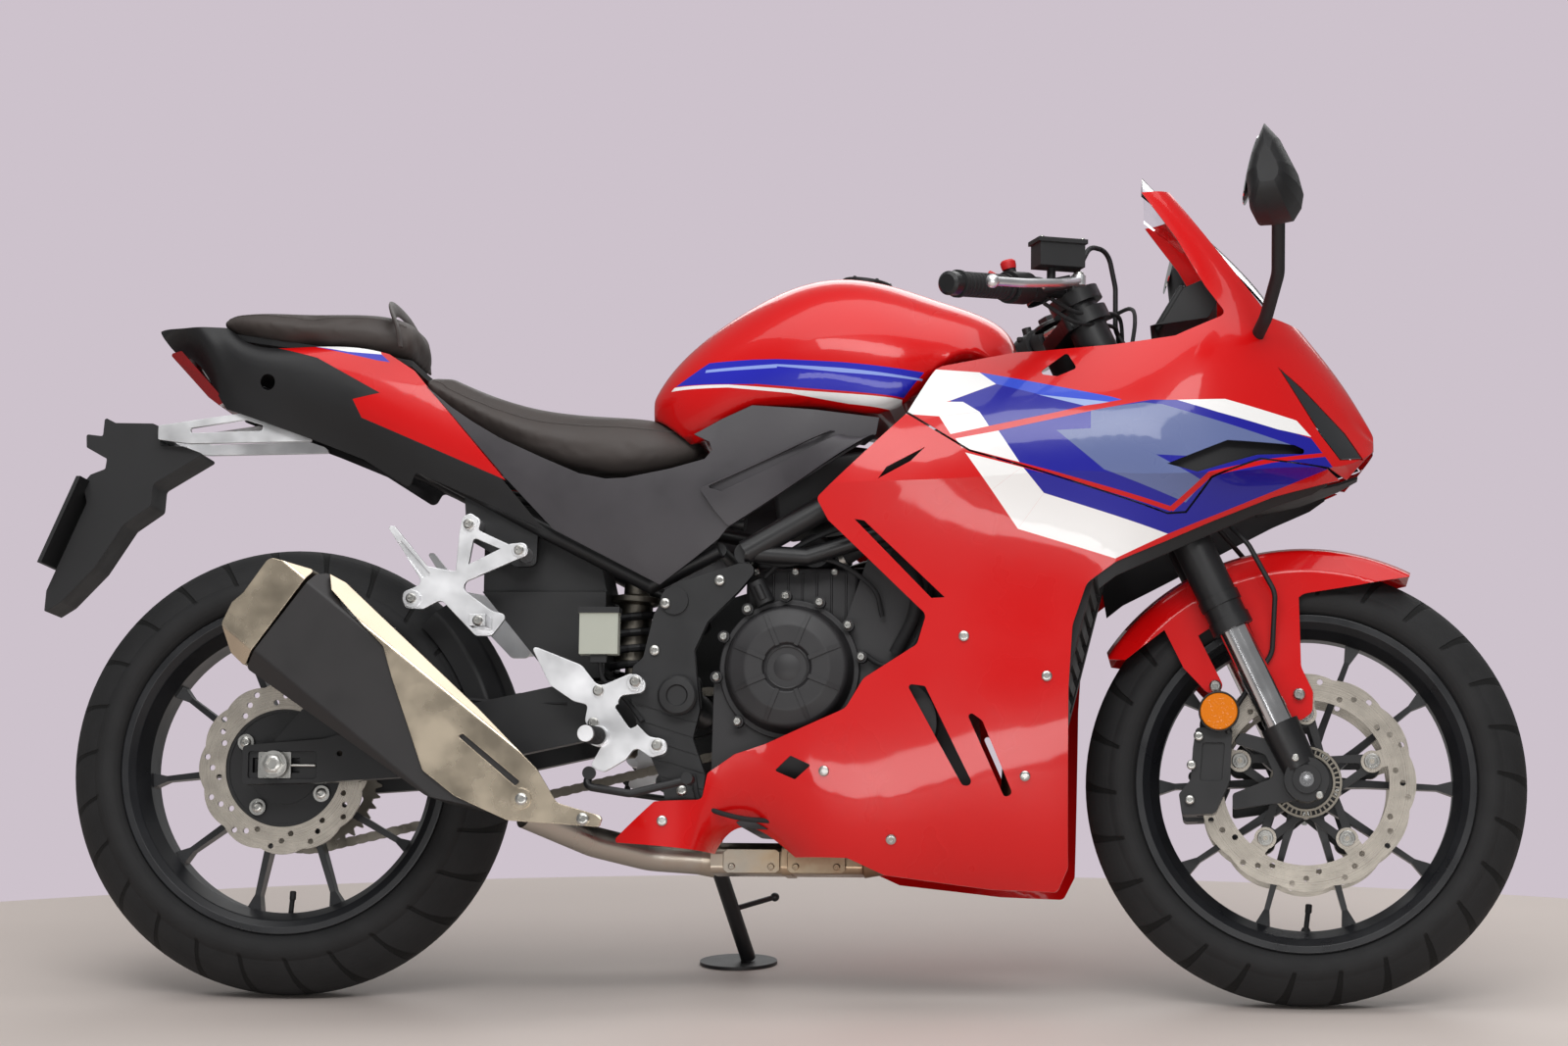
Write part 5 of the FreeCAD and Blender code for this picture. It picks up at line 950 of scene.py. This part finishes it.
def chainPath(v):
    radii = [v["pitch"] / math.sin(math.pi / n) / 2 for n in v["teeth"]]
    back, ahead = Vector((rear.x, rear.z)), Vector(v["gear"])
    span = (ahead - back).length
    way = (ahead - back).normalized()
    out = Vector((-way.y, way.x))
    splay = math.asin((radii[0] - radii[1]) / span)
    straight = span * math.cos(splay)
    total = 2 * straight + radii[0] * (math.pi + 2 * splay) + radii[1] * (math.pi - 2 * splay)

    def at(s):
        s = s % total
        if s < straight:
            normal = (out * math.cos(splay) + way * math.sin(splay))
            along = way * math.cos(splay) - out * math.sin(splay)
            return back + normal * radii[0] + along * s
        s -= straight
        if s < radii[1] * (math.pi - 2 * splay):
            turn = math.pi / 2 - splay - s / radii[1]
            return ahead + (way * math.cos(turn) + out * math.sin(turn)) * radii[1]
        s -= radii[1] * (math.pi - 2 * splay)
        if s < straight:
            normal = (-out * math.cos(splay) + way * math.sin(splay))
            along = -way * math.cos(splay) - out * math.sin(splay)
            return ahead + normal * radii[1] + along * s
        s -= straight
        turn = -math.pi / 2 + splay - s / radii[0]
        return back + (way * math.cos(turn) + out * math.sin(turn)) * radii[0]

    count = 2 * round(total / v["pitch"] / 2)
    return [at(total * i / count) for i in range(count)]


def chainPiece(v):
    bm = bmesh.new()
    pins = chainPath(v)
    across = Matrix.Rotation(math.pi / 2, 4, "X")
    for i, a in enumerate(pins):
        b = pins[(i + 1) % len(pins)]
        middle, along = (a + b) / 2, (b - a)
        tilt = Matrix.Rotation(-math.atan2(along.y, along.x), 4, "Y")
        offset = 5.7 if i % 2 else 3.9
        for side in (-1, 1):
            place = Matrix.Translation((middle.x, v["y"] + side * offset, middle.y)) @ tilt
            wide = Matrix.Diagonal((along.length / 2 + v["waist"] - 0.6, v["waist"], 1, 1))
            bmesh.ops.create_cone(bm, cap_ends=True, segments=12, radius1=1, radius2=1, depth=v["plate"],
                                  matrix=place @ across @ wide)
        bmesh.ops.create_cone(bm, cap_ends=True, segments=8, radius1=v["pin"], radius2=v["pin"], depth=14.0,
                              matrix=Matrix.Translation((a.x, v["y"], a.y)) @ across)
    piece("chainLinks", bm, "chassis", darkSteel, "drive_chain")


chainPiece(chain)
print("side covers and chain made")


# puts the result of a piece's modifiers in its mesh
def applyAll(obj):
    deps = bpy.context.evaluated_depsgraph_get()
    done = bpy.data.meshes.new_from_object(obj.evaluated_get(deps), depsgraph=deps)
    obj.modifiers.clear()
    obj.data = done


def smoothMesh(obj, times):
    bm = bmesh.new()
    bm.from_mesh(obj.data)
    for _ in range(times):
        bmesh.ops.smooth_vert(bm, verts=bm.verts, factor=0.5, use_axis_x=True, use_axis_y=True, use_axis_z=True)
    bmesh.ops.recalc_face_normals(bm, faces=bm.faces)
    bm.to_mesh(obj.data)
    bm.free()


# seats: foam under a stretched cover, swollen by cloth pressure from a slightly smaller copy of the solid
cushions = {"rider_seat": {"shrink": 2.5, "cap": 6.0}, "pillion_seat": {"shrink": 2.0, "cap": 4.0}}
foam = {"voxel": 0.005, "pressure": 4.0, "frames": 20}


def cushion(name, v):
    mesh = nodes[name].data.copy()
    obj = bpy.data.objects.new(name + "Cushion", mesh)
    scene.collection.objects.link(obj)
    bm = bmesh.new()
    bm.from_mesh(mesh)
    bmesh.ops.remove_doubles(bm, verts=bm.verts, dist=0.00002)
    bmesh.ops.recalc_face_normals(bm, faces=bm.faces)
    bm.normal_update()
    for vert in bm.verts:
        vert.co -= vert.normal * v["shrink"] / 1000
    bm.to_mesh(mesh)
    bm.free()
    remesh = obj.modifiers.new("even", "REMESH")
    remesh.mode = "VOXEL"
    remesh.voxel_size = foam["voxel"]
    applyAll(obj)
    smoothMesh(obj, 4)
    start = [p.co.copy() for p in obj.data.vertices]
    cloth = obj.modifiers.new("foam", "CLOTH")
    cloth.settings.use_pressure = True
    cloth.settings.uniform_pressure_force = foam["pressure"]
    cloth.settings.effector_weights.gravity = 0
    cloth.settings.quality = 5
    cloth.point_cache.frame_start, cloth.point_cache.frame_end = 1, foam["frames"]
    for number in range(1, foam["frames"] + 1):
        scene.frame_set(number)
    applyAll(obj)
    scene.frame_set(1)
    cap = v["cap"] / 1000
    for vert, first in zip(obj.data.vertices, start):
        moved = vert.co - first
        if moved.length > cap:
            vert.co = first + moved.normalized() * cap
    smoothMesh(obj, 2)
    obj.data.shade_smooth()
    split = obj.modifiers.new("fine", "SUBSURF")
    split.levels = split.render_levels = 1
    applyAll(obj)
    assign(obj, seatCover)
    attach(obj, "chassis")
    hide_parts(name)
    return obj


seats = {name: cushion(name, v) for name, v in cushions.items()}
print("seats swollen")


# stitched seams round the seats, and the grab strap across the front of the pillion seat
def seamOn(bm, obj, points, r, steps=10):
    tree = BVHTree.FromObject(obj, bpy.context.evaluated_depsgraph_get())
    tube(bm, [toBike @ tree.find_nearest(toRow @ p)[0] for p in smoothPath(points, steps)], r, 6, 1)


seams = {
    "rider_seat": [(-505, 82, 869), (-440, 92, 838), (-340, 100, 806), (-230, 98, 797), (-165, 80, 790),
                   (-138, 50, 788), (-134, 0, 789), (-138, -50, 788), (-165, -80, 790), (-230, -98, 797),
                   (-340, -100, 806), (-440, -92, 838), (-505, -82, 869)],
    "pillion_seat": [(-545, 70, 938), (-600, 80, 948), (-700, 80, 955), (-800, 52, 954), (-812, 0, 955),
                     (-800, -52, 954), (-700, -80, 955), (-600, -80, 948), (-545, -70, 938)],
}


def seamPiece(v):
    bm = bmesh.new()
    for name, points in v.items():
        seamOn(bm, seats[name], points, 1.3)
    piece("seatSeams", bm, "chassis", seatCover)


seamPiece(seams)

strap = {"path": [(-548, -106, 900), (-552, -108, 925), (-562, -98, 950), (-566, -60, 962), (-567, 0, 965),
                  (-566, 60, 962), (-562, 98, 950), (-552, 108, 925), (-548, 106, 900)]}


def strapPiece(v):
    bm = bmesh.new()
    tube(bm, v["path"], 12, 12, 8, thin=0.22, up=(1, 0, 0))
    piece("grabStrap", bm, "chassis", seatCover)


strapPiece(strap)


# mirror glass, let onto the back of each head
mirrorFace = {"heads": [(662, -320, 1083), (547, 326, 1090)], "size": (31, 48)}


def mirrorGlassPiece(v):
    bm = bmesh.new()
    for x, y, z in v["heads"]:
        at, way = rayHit("mirrors", (x - 200, y, z + 8), (1, 0, 0))
        place = Matrix.Translation(at) @ (-way).to_track_quat("-Z", "Y").to_matrix().to_4x4()
        bmesh.ops.create_cone(bm, cap_ends=True, segments=40, radius1=1, radius2=0.97, depth=1.6,
                              matrix=place @ Matrix.Diagonal((*v["size"], 1, 1)))
    piece("mirrorGlass", bm, "chassis", mirrorGlass)


mirrorGlassPiece(mirrorFace)

# the instrument: a case on the dashboard, smoked glass, and plain bars and blocks on it
dial = {"eye": (250, 0, 1050), "way": (1, 0, -0.35), "case": (128, 74, 10), "glass": (112, 60, 2), "bars": 14}


def instrument(v):
    at, way = rayHit("inner_panels", v["eye"], v["way"])
    place = aimed(at, way)
    bm = bmesh.new()
    block(bm, v["case"], place @ Matrix.Translation((0, 0, 3)), 4.0, 3)
    piece("instrumentCase", bm, "chassis", blackPlastic)
    bm = bmesh.new()
    block(bm, v["glass"], place @ Matrix.Translation((0, 0, 8.2)), 0.8, 1)
    piece("instrumentGlass", bm, "chassis", lampGlass)
    bm = bmesh.new()
    for k in range(v["bars"]):
        tall = 5 + 9 * (k / (v["bars"] - 1)) ** 1.5
        block(bm, (5, tall, 0.6), place @ Matrix.Translation((-44 + 6.6 * k, 8 + tall / 2, 9.5)), 0.1, 1)
    for k in range(3):
        block(bm, (12, 18, 0.6), place @ Matrix.Translation((-14 + 16 * k, -12, 9.5)), 2.0, 2)
    piece("instrumentSegments", bm, "chassis", boxPlastic)


instrument(dial)

# the silencer's mouth: a rolled outlet, its dark inside, and screws round it
outlet = {"on": (-690, -206, 508), "way": (-0.783, 0, 0.622), "radius": 26,
          "screwCircle": 36, "screws": (40, 140, 220, 320)}


def outletPieces(v):
    way, r = Vector(v["way"]), v["radius"]
    at, _ = rayHit("silencer_cap", Vector(v["on"]) + way * 250, -way)
    bm = bmesh.new()
    turned(bm, at, way, [(r, -3), (r, 7), (r - 1.5, 8.5), (r - 4, 8.5), (r - 5, 7), (r - 5.5, 1)], 44)
    piece("silencerOutlet", bm, "chassis", steelPipe)
    bm = bmesh.new()
    turned(bm, at, way, [(r - 4.5, 0.4), (r - 4.5, 1.6), (0.01, 1.6)], 36)
    piece("silencerMouth", bm, "chassis", canBlack)
    bm = bmesh.new()
    across = Vector((0, 1, 0))
    for turn in map(math.radians, v["screws"]):
        spot = at + (across * math.cos(turn) + way.cross(across) * math.sin(turn)) * v["screwCircle"]
        hit, _ = rayHit("silencer_cap", spot + way * 200, -way)
        if hit:
            screw(bm, hit, way, 4.2, 3.0, 12)
    piece("silencerScrews", bm, "chassis", zincSteel)


outletPieces(outlet)


# the tank's top round the filler, as a curved surface, from points beside the filler
filler = {"middle": (96, 0), "near": 46, "far": 62, "cap": 35.5}


def tankTop(v):
    x0, y0 = v["middle"]
    high = lambda x, y: rayHit("fuel_tank", (x, y, 1200), (0, 0, -1))[0].z
    a, b = v["near"], v["far"]
    curves, heights = [], []
    for dx, dy in ((1, 0), (0, 1)):
        inner = (high(x0 + a * dx, y0 + a * dy) + high(x0 - a * dx, y0 - a * dy)) / 2
        outer = (high(x0 + b * dx, y0 + b * dy) + high(x0 - b * dx, y0 - b * dy)) / 2
        curves.append((outer - inner) / (b * b - a * a))
        heights.append(inner - curves[-1] * a * a)
    slope = (high(x0 + a, y0) - high(x0 - a, y0)) / (2 * a)
    return lambda x, y: (sum(heights) / 2 + slope * (x - x0) + curves[0] * (x - x0) ** 2 + curves[1] * (y - y0) ** 2)


# the tank is a merged copy of its solid, with the filler let in flush, and a lock cap with its screws on it
def tankPiece(v):
    top = tankTop(v)
    x0, y0 = v["middle"]
    bm = bmesh.new()
    bm.from_mesh(nodes["fuel_tank"].data)
    bmesh.ops.remove_doubles(bm, verts=bm.verts, dist=0.00002)
    bmesh.ops.transform(bm, matrix=toBike, verts=bm.verts)
    for vert in bm.verts:
        x, y, z = vert.co
        if math.hypot(x - x0, y - y0) < v["near"] and z > 960:
            vert.co.z = min(z, top(x, y))
    piece("fuelTankShell", bm, "chassis", tankPaint, "fuel_tank", 50)
    at = Vector((x0, y0, top(x0, y0) + 0.5))
    way = Vector((-(top(x0 + 20, y0) - top(x0 - 20, y0)) / 40, 0, 1)).normalized()
    bm = bmesh.new()
    r = v["cap"]
    turned(bm, at, way, [(r, -8), (r, 1.0), (34, 2.4), (29, 2.4), (28.4, 1.4), (27.6, 2.4), (0.01, 3.0)], 48)
    block(bm, (34, 16, 3), aimed(at + way * 3.4, way), 1.4)
    for k in range(6):
        turn = math.radians(60 * k + 30)
        screw(bm, aimed(at, way) @ Vector((31.6 * math.cos(turn), 31.6 * math.sin(turn), 2.4)), way, 2.6, 2.0, 12)
    piece("fillerCap", bm, "chassis", blackMetal)


tankPiece(filler)


# rubber rings of the rider's foot pegs
pegs = {"from": (-246, 196, 349.4), "to": (-252, 262, 347), "rings": 8, "pitch": 7.6}


def pegRubbers(v):
    bm = bmesh.new()
    for side in (-1, 1):
        a, b = (Vector((x, side * y, z)) for x, y, z in (v["from"], v["to"]))
        way = (b - a).normalized()
        for k in range(v["rings"]):
            turned(bm, a + way * (4 + v["pitch"] * k), way, [(10.6, -2.6), (12.4, -2.0), (12.4, 2.0), (10.6, 2.6)], 20)
    piece("pegRubbers", bm, "chassis", gripRubber)


pegRubbers(pegs)

partFinish("rear_brake", (-281, -176, 461), (-219, -146, 519.5), boxPlastic)  # the fluid cup behind the heel
print("mirrors, instrument, silencer, tank and pegs made")


# top of the crankcase, starter motor, throttle bodies and air box, which show dark between the frame's tubes
intake = {
    # place, size and tilt of the crankcase's top, the air box and the breather
    "blocks": [((20, 0, 542), (156, 196, 96), 0), ((70, 0, 706), (190, 150, 92), -8),
               ((-34, 0, 590), (60, 150, 40), 12)],
    "starter": ((34, -74, 614), (34, 74, 614), 27),
    "throats": [(-54, 96), (-18, 100), (18, 100), (54, 96)],
    "ribs": 7,
}


def intakePiece(v):
    bm = bmesh.new()
    for at, size, turn in v["blocks"]:
        block(bm, size, Matrix.Translation(at) @ Matrix.Rotation(math.radians(turn), 4, "Y"), 7.0, 3)
    for k in range(v["ribs"]):
        block(bm, (3, 199, 70), Matrix.Translation((-40 + 20 * k, 0, 548)), 0.8, 1)
    a, b, r = v["starter"]
    profile = [(0.01, -4), (r - 6, -4), (r - 4, 0), (r, 6), (r, 142), (r - 5, 150), (0.01, 152)]
    turned(bm, a, Vector(b) - Vector(a), profile, 32)
    for y, x in v["throats"]:
        tube(bm, [(x, y, 668), (x + 22, y, 640), (x + 52, y, 612)], 20, 16, 4)
    piece("intakeAndStarter", bm, "chassis", engineBlack)
    bm = bmesh.new()
    for x in (-44, 10, 64):
        for z in (506, 584):
            screw(bm, (x, -98, z), (0, -1, 0), 5.5, 4)
            screw(bm, (x, 98, z), (0, 1, 0), 5.5, 4)
    for y, x in v["throats"]:
        turned(bm, (x + 21, y, 641), (30, 0, -28), [(20.4, -3), (21.6, -3), (21.6, 3), (20.4, 3)], 24)
    piece("intakeScrews", bm, "chassis", zincSteel)


intakePiece(intake)


# rear shock absorber between the pivot plates and the wheel: a black wound spring over a plated damper
rearShock = {"foot": (-236, 0, 336), "top": (-222, 0, 592), "springRadius": 34, "wire": 5.5, "turns": 7.5}


def rearShockPieces(v):
    foot = Vector(v["foot"])
    way = (Vector(v["top"]) - foot).normalized()
    long = (Vector(v["top"]) - foot).length
    bm = bmesh.new()
    profile = [(0.01, 0), (14, 0), (17, 4), (17, 26), (38, 32), (38, 38), (9, 40), (9, 130), (24, 134), (24, long - 44)]
    profile += [(38, long - 40), (38, long - 33), (18, long - 28), (18, long), (0.01, long)]
    turned(bm, foot, way, profile, 36)
    piece("rearShockBody", bm, "chassis", darkSteel)
    bm = bmesh.new()
    rise = long - 40 - 38 - 2 * v["wire"]
    points = []
    for k in range(int(v["turns"] * 16) + 1):
        turn = k / 16 * 2 * math.pi
        at = foot + way * (38 + v["wire"] + rise * k / (v["turns"] * 16))
        points.append((at.x + v["springRadius"] * math.cos(turn), v["springRadius"] * math.sin(turn), at.z))
    tube(bm, points, v["wire"], 8, 1)
    piece("rearShockSpring", bm, "chassis", blackMetal)


rearShockPieces(rearShock)
print("engine top and rear shock made")


# studio: a pale round floor that stands before a plain wall, and soft lamps overhead and in front
studio = {"floor": "cfc4be", "back": "cdc2cc", "middle": (0.1, -2.2), "radius": 3.12, "sky": 0.24}
# place, aim, size in metres, and watts
lamps = {
    "overhead": ((0.2, -0.4, 3.8), (0, 0, 0.5), (5.0, 2.6), 80),
    "frontHigh": ((0.6, -4.3, 4.6), (0.1, 0, 0.5), (5.0, 1.6), 160),
    "frontLow": ((0.6, -6.2, 0.42), (0.1, 0, 0.5), (6.4, 0.7), 88),
    "farSide": ((0.4, 3.4, 2.4), (0, 0, 0.5), (3.6, 1.6), 40),
}


def makeStudio(s):
    mesh = bpy.data.meshes.new("floor")
    bm = bmesh.new()
    bmesh.ops.create_circle(bm, cap_ends=True, segments=180, radius=s["radius"],
                            matrix=Matrix.Translation((*s["middle"], 0)))
    bm.to_mesh(mesh)
    floor = bpy.data.objects.new("floor", mesh)
    scene.collection.objects.link(floor)
    mat, tree, shader = material("paintedFloor", Roughness=0.6, Specular_IOR_Level=0.3)
    tone = spread(tree, noise(tree, 900.0, 4.0), 0.96, 1.03)
    shade = node(tree, "VectorMath", {"operation": "SCALE", 0: colour(s["floor"])[:3]}, {"Scale": tone})
    feed(tree, shade, shader, "Base Color")
    assign(floor, mat)
    world = bpy.data.worlds.new("studio")
    scene.world = world
    world.use_nodes = True
    tree = world.node_tree
    light = tree.nodes["Background"]
    light.inputs["Color"].default_value = (1.0, 1.0, 1.0, 1.0)
    light.inputs["Strength"].default_value = s["sky"]
    seen = node(tree, "Background", {"Color": colour(s["back"]), "Strength": 1.0})
    path = node(tree, "LightPath")
    either = node(tree, "Math", {"operation": "MAXIMUM"}, {
        0: path.outputs["Is Camera Ray"], 1: path.outputs["Is Transmission Ray"]})
    mix = node(tree, "MixShader", {}, {"Fac": either, 1: light, 2: seen})
    tree.links.new(mix.outputs[0], tree.nodes["World Output"].inputs["Surface"])


def areaLamp(name, place, aim, size, power):
    data = bpy.data.lights.new(name, "AREA")
    data.shape = "RECTANGLE"
    data.size, data.size_y = size
    data.energy = power
    lamp = bpy.data.objects.new(name, data)
    scene.collection.objects.link(lamp)
    way = Vector(aim) - Vector(place)
    lamp.matrix_world = Matrix.Translation(place) @ way.to_track_quat("-Z", "Y").to_matrix().to_4x4()


makeStudio(studio)
for name, values in lamps.items():
    areaLamp(name, *values)
print("studio lit")
